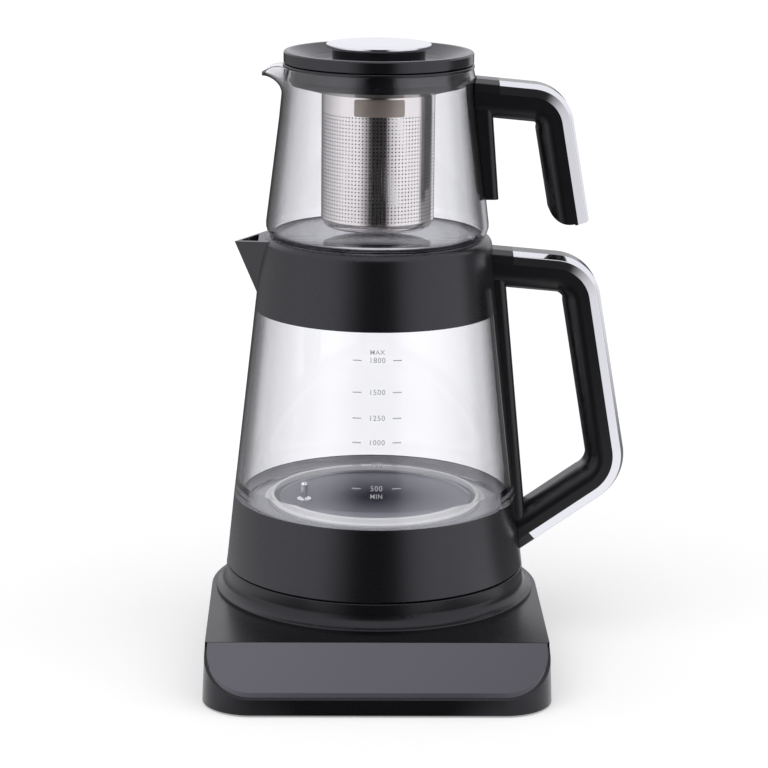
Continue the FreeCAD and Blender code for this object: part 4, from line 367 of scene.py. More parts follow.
change = math_of(turned, "MULTIPLY", math_of(turned, "SUBTRACT", lines.outputs["Fac"], 0.5),
                 t_in.outputs["Wear"])
turned.links.new(math_of(turned, "ADD", t_in.outputs["Polish"], change), t_out.inputs["Roughness"])
tint = math_of(turned, "ADD", TINT_LOW,
               math_of(turned, "MULTIPLY", lines.outputs["Fac"], TINT_SPAN))
turned.links.new(tint, t_out.inputs["Tint"])
print("group:", turned.name)

# %% [markdown]
# Gloss surfaces are never quite even: wiping leaves very faint, wide patches
# that only show in the reflections. This group moves the roughness a little
# about a given value.

# %% Wiped gloss
PATCHES_PER_METRE = (9.0, 22.0, 14.0)

wiped, w_in, w_out = new_group("wiped_gloss", [("Polish", 0.08), ("Smears", 0.05)], ["Roughness"])
stretch = node_of(wiped, "ShaderNodeMapping")
stretch.inputs["Scale"].default_value = PATCHES_PER_METRE
wiped.links.new(own_place(wiped), stretch.inputs["Vector"])
smear = node_of(wiped, "ShaderNodeTexNoise", Scale=1.0, Detail=6.0, Roughness=0.6)
wiped.links.new(stretch.outputs[0], smear.inputs["Vector"])
part = math_of(wiped, "MULTIPLY", smear.outputs["Fac"], w_in.outputs["Smears"])
wiped.links.new(math_of(wiped, "ADD", w_in.outputs["Polish"], part), w_out.inputs["Roughness"])
print("group:", wiped.name)

# %% [markdown]
# ## Finishes
#
# Each finish is one material around a Principled shader. The plain numbers sit
# on the shader's own sockets, and the groups feed its roughness and, where there
# is a grain or turned lines, its bump; turned lines tint the colour a little too.
#
# The base, the kettle's shell and collar, and the lid are black plastic from more
# or less polished moulds. A Specular Tint makes their highlights slightly cool.

# %% Plastic finishes
def finish(name, colour, **sockets):
    """A new material with a Principled shader; returns the material and the shader."""
    made = bpy.data.materials.new(name)
    made.use_nodes = True
    shader = made.node_tree.nodes["Principled BSDF"]
    shader.inputs["Base Color"].default_value = (*colour, 1)
    for label, value in sockets.items():
        shader.inputs[label.replace("_", " ")].default_value = value
    return made, shader


def placed_group(made, group, **values):
    """Places an effect in a material, with this material's own values."""
    node = made.node_tree.nodes.new("ShaderNodeGroup")
    node.node_tree = group
    for label, value in values.items():
        node.inputs[label.replace("_", " ")].default_value = value
    return node


def bump_from(made, shader, height, depth):
    """Feeds a height, with a depth in metres, to the shader's normal."""
    bump = node_of(made.node_tree, "ShaderNodeBump", Strength=1.0, Distance=depth)
    made.node_tree.links.new(height, bump.inputs["Height"])
    made.node_tree.links.new(bump.outputs[0], shader.inputs["Normal"])


def moulded(name, colour, polish, depth=0.000003, grains=2600.0, wear=0.06, **sockets):
    """Plastic or rubber with a moulded grain of a depth in metres."""
    made, shader = finish(name, colour, **sockets)
    effect = placed_group(made, grain, Polish=polish, Grains_per_metre=grains, Wear=wear)
    made.node_tree.links.new(effect.outputs["Roughness"], shader.inputs["Roughness"])
    bump_from(made, shader, effect.outputs["Height"], depth)
    return made


def glossy(name, colour, polish, smears=0.04, **sockets):
    """A smooth finish with faint wiped patches."""
    made, shader = finish(name, colour, **sockets)
    effect = placed_group(made, wiped, Polish=polish, Smears=smears)
    made.node_tree.links.new(effect.outputs["Roughness"], shader.inputs["Roughness"])
    return made


COOL_SHEEN = (0.93, 0.92, 1.0, 1)
satin_black = moulded("satin_black", (0.0055, 0.0055, 0.0068), 0.27, Specular_IOR_Level=0.72,
                      Specular_Tint=COOL_SHEEN)
lid_black = moulded("lid_black", (0.0055, 0.0055, 0.0068), 0.20, depth=0.0000005,
                    Specular_IOR_Level=0.68, Specular_Tint=COOL_SHEEN)
base_black = moulded("base_black", (0.0055, 0.0055, 0.0066), 0.27, Specular_IOR_Level=0.50,
                     Specular_Tint=COOL_SHEEN)
handle_black = moulded("handle_black", (0.0050, 0.0050, 0.0064), 0.30)
inlay_black = glossy("inlay_black", (0.008, 0.008, 0.010), 0.12, Specular_IOR_Level=0.25)
component_grey = moulded("component_grey", (0.03, 0.03, 0.034), 0.5)
foot_rubber = moulded("foot_rubber", (0.016, 0.016, 0.016), 0.75, depth=0.00002)
print("plastics:", satin_black.name, lid_black.name, base_black.name, handle_black.name)

# %% [markdown]
# A touch panel like this is usually a print behind a clear cover. Its cover
# mirrors a nearby softbox, and that reflection is painted into the colour: the
# panel gets a little darker towards the right and the lower edge, by a slow
# change of the base colour along X and Z. A gradient texture would do as well,
# but a Map Range shows the two ends in metres.

# %% Touch panel
# Painted reflection: the pale and the deep end of the panel's colour stand in for a softbox's
# reflection fading out.
REFLECTION_PALE = (0.112, 0.108, 0.132, 1)
REFLECTION_DEEP = (0.058, 0.055, 0.070, 1)
PANEL_ENDS = (-0.11, 0.12)
PANEL_SHARES = (0.25, 1.0)
HEIGHT_WEIGHT = 1.5

panel_lavender = glossy("panel_lavender", (0.078, 0.075, 0.094), 0.10)
tree = panel_lavender.node_tree
panel_axes = tree.nodes.new("ShaderNodeSeparateXYZ")
tree.links.new(own_place(tree), panel_axes.inputs[0])
shading = node_of(tree, "ShaderNodeMapRange", From_Min=PANEL_ENDS[0], From_Max=PANEL_ENDS[1],
                  To_Min=PANEL_SHARES[0], To_Max=PANEL_SHARES[1])
down = math_of(tree, "MULTIPLY", panel_axes.outputs["Z"], HEIGHT_WEIGHT)
tree.links.new(math_of(tree, "SUBTRACT", panel_axes.outputs["X"], down), shading.inputs["Value"])
# The base colour is mixed between the two ends here, as a painted reflection.
painted_reflection = node_of(tree, "ShaderNodeMix", data_type="RGBA")
tree.links.new(shading.outputs[0], painted_reflection.inputs["Factor"])
painted_reflection.inputs[6].default_value = REFLECTION_PALE
painted_reflection.inputs[7].default_value = REFLECTION_DEEP
tree.links.new(painted_reflection.outputs[2], tree.nodes["Principled BSDF"].inputs["Base Color"])
print("panel finish:", panel_lavender.name)

# %% [markdown]
# The metals differ in how they were made: the trim and the knob are polished
# and plated, the infuser and the heater plate are spun sheet with fine turned
# lines, and the contacts are plain brass.

# %% Metal finishes
def spun(name, colour, polish, lines_per_metre, depth, wear=0.08, **sockets):
    """A metal with turned lines of a depth in metres."""
    made, shader = finish(name, colour, Metallic=1.0, **sockets)
    effect = placed_group(made, turned, Polish=polish, Lines_per_metre=lines_per_metre, Wear=wear)
    links = made.node_tree.links
    links.new(effect.outputs["Roughness"], shader.inputs["Roughness"])
    bump_from(made, shader, effect.outputs["Height"], depth)
    shade = node_of(made.node_tree, "ShaderNodeMix", data_type="RGBA", blend_type="MULTIPLY")
    shade.inputs["Factor"].default_value = 1.0
    shade.inputs[6].default_value = (*colour, 1)
    links.new(effect.outputs["Tint"], shade.inputs[7])
    links.new(shade.outputs[2], shader.inputs["Base Color"])
    return made


trim_chrome = glossy("trim_chrome", (0.84, 0.84, 0.88), 0.06, smears=0.03, Metallic=1.0)
basket_steel = spun("basket_steel", (0.93, 0.885, 0.86), 0.13, 5200.0, 0.0000003, wear=0.05)
# Painted shade: the inside of the basket and its punched edges take this nearly black steel, for the
# shade inside the cup.
shaded_inside_steel = spun("shaded_inside_steel", (0.09, 0.09, 0.095), 0.45, 5200.0, 0.0000006)
bright_steel = spun("bright_steel", (0.82, 0.82, 0.84), 0.12, 3000.0, 0.0000005)
plain_steel = spun("plain_steel", (0.55, 0.55, 0.56), 0.3, 3000.0, 0.000003)
cast_aluminium = spun("cast_aluminium", (0.68, 0.68, 0.69), 0.42, 900.0, 0.00001)
contact_brass = spun("contact_brass", (0.78, 0.58, 0.28), 0.22, 3200.0, 0.000003)
print("metals:", trim_chrome.name, basket_steel.name, plain_steel.name)

# %% [markdown]
# The heater plate is turned, so a highlight spreads across its grooves. The
# Tangent node tells the shader that the grooves run round the vertical axis, and
# Anisotropic spreads the light across them. Its reflection is dark in the middle
# and bright to either side, and that dark middle is painted into the colour: a
# ramp by the distance from the axis multiplies it, as painted shade.

# %% Heater plate
HEATER_REACH = 0.06
HEATER_PAINTED_SHADES = [(0.10, (0.19, 0.19, 0.205, 1)), (0.85, (0.95, 0.95, 0.97, 1))]

heater_steel = spun("heater_steel", (0.50, 0.50, 0.52), 0.30, 2600.0, 0.000002, Anisotropic=0.85,
                    Specular_Tint=(0.3, 0.3, 0.32, 1))
tree = heater_steel.node_tree
steel_shader = tree.nodes["Principled BSDF"]
round_axis = node_of(tree, "ShaderNodeTangent", direction_type="RADIAL", axis="Z")
tree.links.new(round_axis.outputs[0], steel_shader.inputs["Tangent"])
level_place = node_of(tree, "ShaderNodeVectorMath", operation="MULTIPLY")
level_place.inputs[1].default_value = (1, 1, 0)
tree.links.new(own_place(tree), level_place.inputs[0])
reach = node_of(tree, "ShaderNodeVectorMath", operation="LENGTH")
tree.links.new(level_place.outputs[0], reach.inputs[0])
# Painted reflection: this ramp darkens the middle of the plate's colour, where its reflection is dark.
middle_shade = tree.nodes.new("ShaderNodeValToRGB")
tree.links.new(math_of(tree, "DIVIDE", reach.outputs["Value"], HEATER_REACH), middle_shade.inputs["Fac"])
for stop, (place, colour) in zip(middle_shade.color_ramp.elements, HEATER_PAINTED_SHADES):
    stop.position = place
    stop.color = colour
painted_dark_middle = node_of(tree, "ShaderNodeMix", data_type="RGBA", blend_type="MULTIPLY")
painted_dark_middle.inputs["Factor"].default_value = 1.0
tree.links.new(steel_shader.inputs["Base Color"].links[0].from_socket, painted_dark_middle.inputs[6])
tree.links.new(middle_shade.outputs["Color"], painted_dark_middle.inputs[7])
tree.links.new(painted_dark_middle.outputs[2], steel_shader.inputs["Base Color"])
print("heater finish:", heater_steel.name)

# %% [markdown]
# Glass is the hardest finish here. Light has to pass through it into the
# vessel, so shadow and diffuse rays go straight through. Towards its edges real
# glass is seen through more of its own thickness and looks grey, so Layer Weight
# darkens the colour there; the ramp takes it much further, to near black edge on,
# as painted shade. A level floor of glass is seen slantwise too, but it should
# stay clear, so the tint and painted shade fade out where the normal points up or
# down.
#
# The silicone rings and the adhesive are soft moulded finishes, and the ink of
# the scale is a plain grey.

# %% Glass, silicone and printed ink
UPRIGHT_ENDS = (0.55, 0.9)
GLASS_CAST = 1.02
SHADOW_TINT = (0.93, 0.93, 0.94, 1)


def clear_glass(name, shades):
    """Glass whose tint and painted edge shade go through the given shades, from face on (0) to edge on
    (1).
    """
    made, shader = finish(name, (1, 1, 1), Roughness=0.0, IOR=1.47)
    shader.inputs["Transmission Weight"].default_value = 1.0
    tree = made.node_tree
    # Painted shade: Layer Weight darkens the glass's colour towards its edges, to near black edge on.
    facing = node_of(tree, "ShaderNodeLayerWeight", Blend=0.5)
    shade = tree.nodes.new("ShaderNodeValToRGB")
    marks = shade.color_ramp.elements
    for i, (place, level) in enumerate(shades):
        mark = marks[i] if i < 2 else marks.new(place)
        mark.position = place
        mark.color = (level, level, min(1.0, level * GLASS_CAST), 1)
    lie = tree.nodes.new("ShaderNodeSeparateXYZ")
    tree.links.new(tree.nodes.new("ShaderNodeNewGeometry").outputs["Normal"], lie.inputs[0])
    upright = node_of(tree, "ShaderNodeMapRange", From_Min=UPRIGHT_ENDS[0], From_Max=UPRIGHT_ENDS[1],
                      To_Min=1.0, To_Max=0.0)
    tree.links.new(math_of(tree, "ABSOLUTE", lie.outputs["Z"]), upright.inputs["Value"])
    tree.links.new(math_of(tree, "MULTIPLY", facing.outputs["Facing"], upright.outputs[0]),
                   shade.inputs["Fac"])
    tree.links.new(shade.outputs["Color"], shader.inputs["Base Color"])
    through = node_of(tree, "ShaderNodeBsdfTransparent", Color=SHADOW_TINT)
    either = mixed(tree, seen_rays(tree, "Is Shadow Ray", "Is Diffuse Ray"), shader.outputs[0],
                   through.outputs[0])
    tree.links.new(either, tree.nodes["Material Output"].inputs["Surface"])
    return made


# The last shades of each ramp, near black, are painted shade at the glass's edges.
kettle_clear = clear_glass("kettle_clear", [(0.10, 0.985), (0.34, 0.82), (0.54, 0.70), (0.72, 0.18),
                                            (1.00, 0.02)])
teapot_clear = clear_glass("teapot_clear", [(0.12, 0.96), (0.22, 0.80), (0.50, 0.68), (0.70, 0.18),
                                            (1.00, 0.02)])
silicone_grey = moulded("silicone_grey", (0.30, 0.30, 0.31), 0.40, depth=0.000002)
silicone_white = moulded("silicone_white", (0.90, 0.90, 0.91), 0.28, depth=0.000001)
bond_grey = moulded("bond_grey", (0.40, 0.40, 0.42), 0.5, depth=0.000002)
soft_black = moulded("soft_black", (0.006, 0.006, 0.007), 0.24, depth=0.0000005)
scale_ink = finish("scale_ink", (0.40, 0.40, 0.42), Roughness=0.5)[0]
print("clear:", kettle_clear.name, teapot_clear.name)

# %% [markdown]
# The boards are green lacquer with paler copper tracks showing through, and a
# brick pattern is close enough to tracks for pieces that hide in the base.

# %% Boards
board_green, board_shader = finish("board_green", (0.02, 0.09, 0.04), Roughness=0.35)
tree = board_green.node_tree
tracks = node_of(tree, "ShaderNodeTexBrick", Scale=260.0, Mortar_Size=0.03)
tracks.inputs["Color1"].default_value = (0.020, 0.095, 0.042, 1)
tracks.inputs["Color2"].default_value = (0.026, 0.115, 0.050, 1)
tracks.inputs["Mortar"].default_value = (0.045, 0.15, 0.075, 1)
tree.links.new(own_place(tree), tracks.inputs["Vector"])
tree.links.new(tracks.outputs["Color"], board_shader.inputs["Base Color"])
print("board finish:", board_green.name)

# %% [markdown]
# ## Dress the solids
#
# The solids of the model are right as they are for most pieces, so they only
# get a finish. A table from piece to finish is easy to read and to change.

# %% Finish of every solid
FINISHES = {
    base_black: ["base_top_housing", "base_bottom_cover", "base_coupler"],
    satin_black: ["kettle_base_shell", "kettle_bottom_cover", "kettle_coupler", "kettle_collar"],
    lid_black: ["infuser_holder", "lid_cover", "lid_underside", "lid_knob_stem"],
    soft_black: ["infuser_seal", "lid_seal", "teapot_handle_bond"],
    handle_black: ["kettle_handle_frame", "teapot_handle_frame"],
    panel_lavender: ["touch_panel"],
    inlay_black: ["kettle_handle_inlay", "teapot_handle_inlay"],
    trim_chrome: ["kettle_handle_trim", "teapot_handle_trim", "lid_knob_cap"],
    basket_steel: ["infuser_basket"],
    heater_steel: ["heater_plate"],
    bright_steel: ["temperature_probe"],
    plain_steel: ["touch_key_springs", "base_screws", "kettle_bottom_screws", "heater_clamp_ring",
                  "heating_element", "probe_nut", "kettle_handle_screws", "lid_knob_screw"],
    cast_aluminium: ["heat_diffuser", "capacitor"],
    contact_brass: ["coupler_contacts"],
    kettle_clear: ["kettle_glass"],
    teapot_clear: ["teapot_glass"],
    silicone_grey: ["heater_seal", "collar_seal"],
    foot_rubber: ["base_feet", "cord_gland"],
    component_grey: ["relay", "transformer", "buzzer", "thermal_control"],
    board_green: ["touch_board", "power_board"],
}
for made, names in FINISHES.items():
    for name in names:
        slots = nodes[name].data.materials
        if len(slots) == 0:
            slots.append(made)
        for i in range(len(slots)):
            slots[i] = made
dressed = {name for names in FINISHES.values() for name in names}
print("dressed:", len(dressed), " left bare:", sorted(set(nodes) - dressed))

# %% [markdown]
# ## Tools for new pieces
#
# A turned piece starts as an open outline, a chain of a few points. Its corners
# are rounded by bevelling points, and the chain is spun round the axis. The
# result is merged at the seam and gets outward normals. An open sheet has no
# outside that Blender could know, so face_outwards decides by which way most of
# its area looks.

# %% Outline, spin and finish
MM = 0.001
CORNER_STEPS = 6
WELD = 0.00001


def outline(mesh, points):
    """Joins points (radius, height, rounding) in mm to a chain with rounded corners."""
    chain = [mesh.verts.new((point[0] * MM, 0, point[1] * MM)) for point in points]
    for one, two in zip(chain, chain[1:]):
        mesh.edges.new((one, two))
    corners = []
    for i, point in enumerate(points):
        if len(point) == 3:
            half = (chain[i - 1].co - chain[i].co).angle(chain[i + 1].co - chain[i].co) / 2
            corners.append((chain[i], point[2] * MM / math.tan(half)))
    for vert, reach in corners:
        bmesh.ops.bevel(mesh, geom=[vert], offset=reach, segments=CORNER_STEPS, profile=0.5,
                        affect="VERTICES", material=-1)


def spin_round(mesh, steps):
    """Spins everything in the mesh once round the vertical axis."""
    bmesh.ops.spin(mesh, geom=mesh.verts[:] + mesh.edges[:], cent=(0, 0, 0), axis=(0, 0, 1),
                   angle=math.tau, steps=steps, use_merge=True)
    bmesh.ops.remove_doubles(mesh, verts=mesh.verts[:], dist=WELD)
    bmesh.ops.recalc_face_normals(mesh, faces=mesh.faces[:])


def face_outwards(mesh):
    """Turns the faces of a wall away from the vertical axis, if most of it looks inwards."""
    bmesh.ops.recalc_face_normals(mesh, faces=mesh.faces[:])
    outwards = sum(face.normal.to_2d().dot(face.calc_center_median().to_2d()) * face.calc_area()
                   for face in mesh.faces)
    if outwards < 0:
        bmesh.ops.reverse_faces(mesh, faces=mesh.faces[:])


def new_piece(name, mesh, body, material, sharp=40):
    """Turns a bmesh into a piece that rides on a body."""
    data = bpy.data.meshes.new(name)
    mesh.to_mesh(data)
    mesh.free()
    for face in data.polygons:
        face.use_smooth = True
    data.set_sharp_from_angle(angle=math.radians(sharp))
    data.materials.append(material)
    piece = bpy.data.objects.new(name, data)
    bpy.context.scene.collection.objects.link(piece)
    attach(piece, body)
    print(name, "faces:", len(data.polygons))
    return piece


def settled(piece, sharp=40):
    """Applies the piece's modifiers to its mesh."""
    shown = piece.evaluated_get(bpy.context.evaluated_depsgraph_get())
    data = bpy.data.meshes.new_from_object(shown)
    piece.modifiers.clear()
    piece.data = data
    data.set_sharp_from_angle(angle=math.radians(sharp))
    print(piece.name, "settled, faces:", len(data.polygons))

# %% [markdown]
# ## Infuser basket
#
# The basket is a cup of thin sheet steel, punched with a square grid of small
# round holes between two plain bands. Holes could be faked with a mask, but
# real ones catch the light on their rims. A band of square cells is extruded
# ring by ring, each cell is inset, the inset's corners are cut off to make an
# eight-sided hole, and the middle is deleted. The plain bands and the flange
# are extruded from the band's two open edges, and the sheet gets its thickness
# last.

# %% Perforated wall
FLANGE_WIDTH = 0.0026
BASKET_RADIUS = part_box("infuser_basket")[1].x - FLANGE_WIDTH
basket_low, basket_high = (corner.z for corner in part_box("infuser_basket"))
HOLES_ROUND = 98
HOLE_ROWS = 29
HOLE_PITCH = 0.002125
HOLE_SIZE = 0.00086
HOLE_CORNER = 0.29
SHEET = 0.0005
LOWEST_HOLES = 0.2580
first_row = LOWEST_HOLES - HOLE_PITCH / 2


def push_up(mesh, edges, height=0.0, radius=1.0):
    """Extrudes an edge loop, moves it up and scales it about the axis."""
    made = bmesh.ops.extrude_edge_only(mesh, edges=edges)["geom"]
    verts = [item for item in made if isinstance(item, bmesh.types.BMVert)]
    bmesh.ops.translate(mesh, verts=verts, vec=(0, 0, height))
    bmesh.ops.scale(mesh, verts=verts, vec=(radius, radius, 1))
    return [item for item in made if isinstance(item, bmesh.types.BMEdge)]


mesh = bmesh.new()
bmesh.ops.create_circle(mesh, cap_ends=False, segments=HOLES_ROUND, radius=BASKET_RADIUS)
bmesh.ops.translate(mesh, verts=mesh.verts[:], vec=(0, 0, first_row))
loop = mesh.edges[:]
for row in range(HOLE_ROWS):
    loop = push_up(mesh, loop, HOLE_PITCH)
cells = mesh.faces[:]
bmesh.ops.inset_individual(mesh, faces=cells, thickness=(HOLE_PITCH - HOLE_SIZE) / 2,
                           use_even_offset=True)
corners = list({vert for face in cells for vert in face.verts})
bmesh.ops.bevel(mesh, geom=corners, offset=HOLE_SIZE * HOLE_CORNER, segments=1, profile=0.5,
                affect="VERTICES", material=-1)
holes = [face for face in mesh.faces if len(face.verts) == 8]
print("holes:", len(holes), " of", HOLES_ROUND * HOLE_ROWS, " faces:", len(mesh.faces))
bmesh.ops.delete(mesh, geom=holes, context="FACES_ONLY")

# %% [markdown]
# The bottom is drawn in with a rounded corner and closed, and the top runs on as
# a plain band that turns out into the flange that rests in the holder. The
# sheet is bright outside. Inside and in the punched edges it is rougher, and
# nearly black with painted shade, so the holes read dark; the Solidify modifier
# can tell these faces apart by its material offsets.

# %% Bottom, plain bands and flange
FLOOR_ROUND = 0.005
FLANGE_ROUND = 0.0009
FLOOR_STEPS, FLANGE_STEPS = 6, 4


def turn_in(mesh, edges, radius, rounding, sign, steps, quarter=-1):
    """Carries an edge loop round a quarter corner, inwards or outwards, up or down."""
    centre = radius + quarter * rounding
    for step in range(1, steps + 1):
        angle = math.pi / 2 * step / steps
        before = math.pi / 2 * (step - 1) / steps
        new_radius = centre - quarter * rounding * math.cos(angle)
        old_radius = centre - quarter * rounding * math.cos(before)
        rise = sign * rounding * (math.sin(angle) - math.sin(before))
        edges = push_up(mesh, edges, rise, new_radius / old_radius)
    return edges


def loop_at(mesh, height):
    """The open edges that lie level at a height."""
    return [edge for edge in mesh.edges if edge.is_boundary
            and all(abs(vert.co.z - height) < WELD for vert in edge.verts)]


last_row = first_row + HOLE_ROWS * HOLE_PITCH
low, high = loop_at(mesh, first_row), loop_at(mesh, last_row)
print("open edges below and above:", len(low), len(high))
low = push_up(mesh, low, basket_low + FLOOR_ROUND - first_row)
low = turn_in(mesh, low, BASKET_RADIUS, FLOOR_ROUND, -1, FLOOR_STEPS)
bmesh.ops.contextual_create(mesh, geom=low)
high = push_up(mesh, high, basket_high - SHEET - FLANGE_ROUND - last_row)
high = turn_in(mesh, high, BASKET_RADIUS, FLANGE_ROUND, 1, FLANGE_STEPS, quarter=1)
flange_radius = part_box("infuser_basket")[1].x
high = push_up(mesh, high, 0.0, flange_radius / (BASKET_RADIUS + FLANGE_ROUND))
face_outwards(mesh)
basket = new_piece("perforated_basket", mesh, "infuser", basket_steel)
sheet = basket.modifiers.new("sheet", "SOLIDIFY")
sheet.thickness = SHEET
sheet.offset = -1
sheet.material_offset = 1
sheet.material_offset_rim = 1
# The second slot paints shade on the inside and in the punched edges.
basket.data.materials.append(shaded_inside_steel)
settled(basket)
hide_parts("infuser_basket")

# %% [markdown]
# A small bare plate is soldered to the upper band. It is one upright edge spun
# through a short angle, so it follows the curve of the wall, with its corners
# rounded.

# %% Bare plate on the basket
PLATE_WIDTH = 0.029
PLATE_LOW, PLATE_HIGH = 0.3184, 0.3282
PLATE_GAP = 0.00005
PLATE_SHEET = 0.0004
PLATE_ROUND = 0.0011
PLATE_CORNER_STEPS = 4
PLATE_STEPS = 24
plate_metal = spun("plate_metal", (0.46, 0.40, 0.345), 0.50, 5200.0, 0.0000010)

mesh = bmesh.new()
foot = mesh.verts.new((BASKET_RADIUS + PLATE_GAP, 0, PLATE_LOW))
head = mesh.verts.new((BASKET_RADIUS + PLATE_GAP, 0, PLATE_HIGH))
mesh.edges.new((foot, head))
sweep = PLATE_WIDTH / BASKET_RADIUS
bmesh.ops.rotate(mesh, verts=mesh.verts[:], cent=(0, 0, 0),
                 matrix=Matrix.Rotation(-math.pi / 2 - sweep / 2, 3, "Z"))
bmesh.ops.spin(mesh, geom=mesh.verts[:] + mesh.edges[:], cent=(0, 0, 0), axis=(0, 0, 1),
               angle=sweep, steps=PLATE_STEPS, use_merge=False)
tips = [vert for vert in mesh.verts if len(vert.link_edges) == 2]
bmesh.ops.bevel(mesh, geom=tips, offset=PLATE_ROUND, segments=PLATE_CORNER_STEPS, profile=0.5,
                affect="VERTICES", material=-1)
face_outwards(mesh)
plate = new_piece("basket_plate", mesh, "infuser", plate_metal)
sheet = plate.modifiers.new("sheet", "SOLIDIFY")
sheet.thickness = PLATE_SHEET
sheet.offset = 1
settled(plate)

# %% [markdown]
# ## Teapot glass
#
# The teapot is blown in a mould, and its pouring lip is pressed out of the mouth
# while the glass is soft, so wall and lip are one even sheet. The outside is
# spun as a single sheet. Its long straight runs are divided first, so that the
# lip has points to bend with.

# %% Spin the teapot
POT_WALL = 0.0027
POT_OUTSIDE = [(0, 243.7), (65.9, 243.7, 8.5), (57.2, 314.0, 20), (55.8, 328.0, 30),
               (55.8, 337.5, 12), (54.5, 343.4)]
POT_STEPS = 216
LONG_EDGE, LONG_CUTS = 0.012, 5
NECK_EDGE, NECK_CUTS = 0.0015, 4
NECK_FROM = 0.325

mesh = bmesh.new()
outline(mesh, POT_OUTSIDE)
long_edges = [edge for edge in mesh.edges if edge.calc_length() > LONG_EDGE]
bmesh.ops.subdivide_edges(mesh, edges=long_edges, cuts=LONG_CUTS)
neck_edges = [edge for edge in mesh.edges if edge.calc_length() > NECK_EDGE
              and min(vert.co.z for vert in edge.verts) > NECK_FROM]
bmesh.ops.subdivide_edges(mesh, edges=neck_edges, cuts=NECK_CUTS)
spin_round(mesh, POT_STEPS)
face_outwards(mesh)
print("teapot sheet:", len(mesh.faces), "faces")

# %% [markdown]
# The points near the spout side of the mouth are pushed out along a quarter
# ellipse, less and less towards the lip's two sides, where a low crest runs into
# the round mouth. Last the sheet gets its thickness and a rounded rim.

# %% Press out the lip
LIP_ROOT, LIP_RIM = 0.3275, 0.3434
LIP_REACH = 0.0127
LIP_RISE = 0.0101
LIP_HALF_ANGLE = 0.30
LIP_NARROWING = 3.3
CREST = 0.0007
RIM_ROUND = 0.0011
RIM_STEPS = 4
RIM_ANGLE = 50
POT_SHARP = 60

for vert in mesh.verts:
    away = abs(math.atan2(vert.co.y, -vert.co.x)) / LIP_HALF_ANGLE
    if away < 1 and vert.co.z > LIP_ROOT:
        share = math.cos(away * math.pi / 2) ** 2
        along = (vert.co.z - LIP_ROOT) / (LIP_RIM - LIP_ROOT)
        curve = along * math.pi / 2
        vert.co.x -= share * LIP_REACH * (1 - math.cos(curve))
        rise = LIP_RISE * math.sin(curve) - along * (LIP_RIM - LIP_ROOT)
        vert.co.z += share ** LIP_NARROWING * rise
        vert.co.z += CREST * 4 * share * (1 - share) * along ** 2
face_outwards(mesh)
pot = new_piece("blown_teapot", mesh, "teapot", teapot_clear)
wall = pot.modifiers.new("wall", "SOLIDIFY")
wall.thickness = POT_WALL
wall.offset = -1
rim = pot.modifiers.new("rim", "BEVEL")
rim.width = RIM_ROUND
rim.segments = RIM_STEPS
rim.angle_limit = math.radians(RIM_ANGLE)
settled(pot, POT_SHARP)
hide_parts("teapot_glass")

# %% [markdown]
# ## Heater
#
# The water stands on a turned steel plate. A soft ring of pale silicone holds
# the plate in the glass floor: its section is a closed outline with a raised lip
# inside and a groove for the glass outside, spun once round.

# %% Heater ring
ring_low, ring_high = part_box("heater_seal")
foot, flange = ring_low.z / MM, ring_high.z / MM
ring_out = ring_high.x / MM
PLATE_CLEAR = 0.1
plate_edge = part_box("heater_plate")[1].x / MM + PLATE_CLEAR
RING_TOP = 90.0
RING_WIDTH = 2.2
RING_ROUND = 0.8
RING_FOOT = 2.8
RING_FOOT_ROUND = 0.5
RING_GROOVE = 63.2
RING_SHEET = 1.0
ROUND_STEPS = 128

mesh = bmesh.new()
outline(mesh, [(plate_edge, foot), (plate_edge, RING_TOP, RING_ROUND),
               (plate_edge + RING_WIDTH, RING_TOP, RING_ROUND),
               (plate_edge + RING_FOOT, flange, RING_FOOT_ROUND), (ring_out, flange),
               (ring_out, flange - RING_SHEET), (RING_GROOVE, flange - RING_SHEET),
               (RING_GROOVE, foot + RING_SHEET), (ring_out, foot + RING_SHEET), (ring_out, foot),
               (plate_edge, foot)])
spin_round(mesh, ROUND_STEPS)
ring = new_piece("heater_ring", mesh, "kettle", silicone_white)
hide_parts("heater_seal")

# %% [markdown]
# The glass stands in the base shell in a bed of grey adhesive. It is a very thin
# film, but it is what one sees through the foot of the glass. It is spun as an
# open sheet, and Solidify gives it its thickness.

# %% Glass bed
BED_CLEAR = 0.06
BED_SHEET = 0.04
BED_INSIDE = 66.0
BED_ROUND = 5.0
BED_BELOW_EDGE = 0.4
GLASS_OUTSIDE = 83.5
GLASS_STEP = 1.6
bed_radius = GLASS_OUTSIDE - GLASS_STEP + BED_CLEAR
bed_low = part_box("kettle_glass")[0].z / MM - BED_CLEAR
bed_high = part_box("kettle_base_shell")[1].z / MM - BED_BELOW_EDGE

mesh = bmesh.new()
outline(mesh, [(BED_INSIDE, bed_low), (bed_radius, bed_low, BED_ROUND), (bed_radius, bed_high)])
spin_round(mesh, ROUND_STEPS)
face_outwards(mesh)
bed = new_piece("glass_bed", mesh, "kettle", bond_grey)
panel_axes = bed.modifiers.new("panel_axes", "SOLIDIFY")
panel_axes.thickness = BED_SHEET * MM
panel_axes.offset = 0
settled(bed)

# %% [markdown]
# ## Litre scale
#
# The scale is printed on the kettle's glass, from the lowest to the highest
# filling. Each mark is text turned into a mesh, cut into narrow strips so that
# it can bend, and wrapped round the glass: its width becomes an angle, and its
# height follows the slope of the wall.
#
# The slope comes from two points of the glass's outside, one close to the shell's
# top edge and one close to the collar's lower edge.

# %% The glass's slope
WALL_BAND = 0.004


def wall_point(level):
    """Radius and height of the outermost vertex of the glass close to a level."""
    near = [v.co for v in nodes["kettle_glass"].data.vertices if abs(v.co.z - level) < WALL_BAND]
    return max((math.hypot(co.x, co.y), co.z) for co in near)


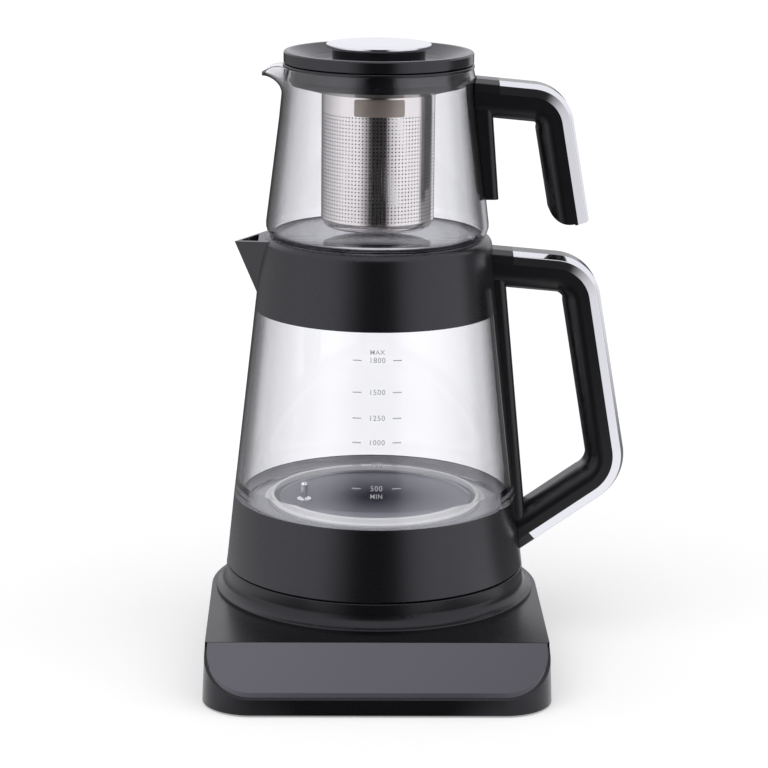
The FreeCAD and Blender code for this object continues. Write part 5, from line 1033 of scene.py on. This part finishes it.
WALL_LOW = wall_point(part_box("kettle_base_shell")[1].z)
WALL_HIGH = wall_point(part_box("kettle_collar")[0].z)
print("wall, radius and height:", WALL_LOW, WALL_HIGH)


def glass_radius(height):
    """Radius of the kettle's glass at a height, from two levels of its straight wall."""
    slope = (WALL_HIGH[0] - WALL_LOW[0]) / (WALL_HIGH[1] - WALL_LOW[1])
    return WALL_LOW[0] + (height - WALL_LOW[1]) * slope


print("radius half way up:", round(glass_radius((WALL_LOW[1] + WALL_HIGH[1]) / 2), 4))

# %% [markdown]
# The marks are laid out flat first, across in X and up in Y, because text and
# dashes are easy to place there, and then the whole scale is bent at once.

# %% Marks
SCALE_MARKS = [(500, 0.1143), (750, 0.1276), (1000, 0.1404), (1250, 0.1542), (1500, 0.1688),
               (1800, 0.1868)]
DIGIT_HEIGHT = 0.0030
WORD_HEIGHT = 0.0026
WORD_AWAY = 0.0045
LETTER_SHARE = 0.70
STROKE = 0.012
LETTER_SPACE = 1.12
DASH = (0.0050, 0.0006)
DASH_OUT = 0.0114
INK_LIFT = 0.00006
SCALE_TURN = -0.6
CURVE_STEPS = 3
STRIP = 0.001
STRIPS = 14


def words(text, height):
    """Plain text as a flat mesh in X and Y, centred."""
    curve = bpy.data.curves.new("mark", "FONT")
    curve.body = text
    curve.align_x = "CENTER"
    curve.align_y = "CENTER"
    curve.size = height / LETTER_SHARE
    curve.resolution_u = CURVE_STEPS
    curve.offset = height * STROKE
    curve.space_character = LETTER_SPACE
    holder = bpy.data.objects.new("mark", curve)
    data = bpy.data.meshes.new_from_object(holder)
    flat = bmesh.new()
    flat.from_mesh(data)
    bpy.data.objects.remove(holder)
    bpy.data.meshes.remove(data)
    return flat


def dash(width, height):
    """A flat dash, centred."""
    flat = bmesh.new()
    bmesh.ops.create_grid(flat, x_segments=1, y_segments=1, size=0.5)
    bmesh.ops.scale(flat, verts=flat.verts[:], vec=(width, height, 1))
    return flat


def printed(scale, flat, across, height):
    """Places one flat mark on the scale, at a distance across and a height."""
    bmesh.ops.translate(flat, verts=flat.verts[:], vec=(across, height, 0))
    data = bpy.data.meshes.new("mark")
    flat.to_mesh(data)
    flat.free()
    scale.from_mesh(data)
    bpy.data.meshes.remove(data)


scale = bmesh.new()
for amount, height in SCALE_MARKS:
    printed(scale, words(str(amount), DIGIT_HEIGHT), 0.0, height)
    for side in (-1, 1):
        printed(scale, dash(*DASH), side * DASH_OUT, height)
printed(scale, words("MAX", WORD_HEIGHT), 0.0, SCALE_MARKS[-1][1] + WORD_AWAY)
printed(scale, words("MIN", WORD_HEIGHT), 0.0, SCALE_MARKS[0][1] - WORD_AWAY)
for k in range(-STRIPS, STRIPS + 1):
    cut = scale.verts[:] + scale.edges[:] + scale.faces[:]
    bmesh.ops.bisect_plane(scale, geom=cut, plane_co=(k * STRIP, 0, 0), plane_no=(1, 0, 0))
for vert in scale.verts:
    across, height = vert.co.x, vert.co.y
    radius = glass_radius(height) + INK_LIFT
    turn = across / radius + math.radians(SCALE_TURN)
    vert.co = (radius * math.sin(turn), -radius * math.cos(turn), height)
new_piece("litre_scale", scale, "kettle", scale_ink)
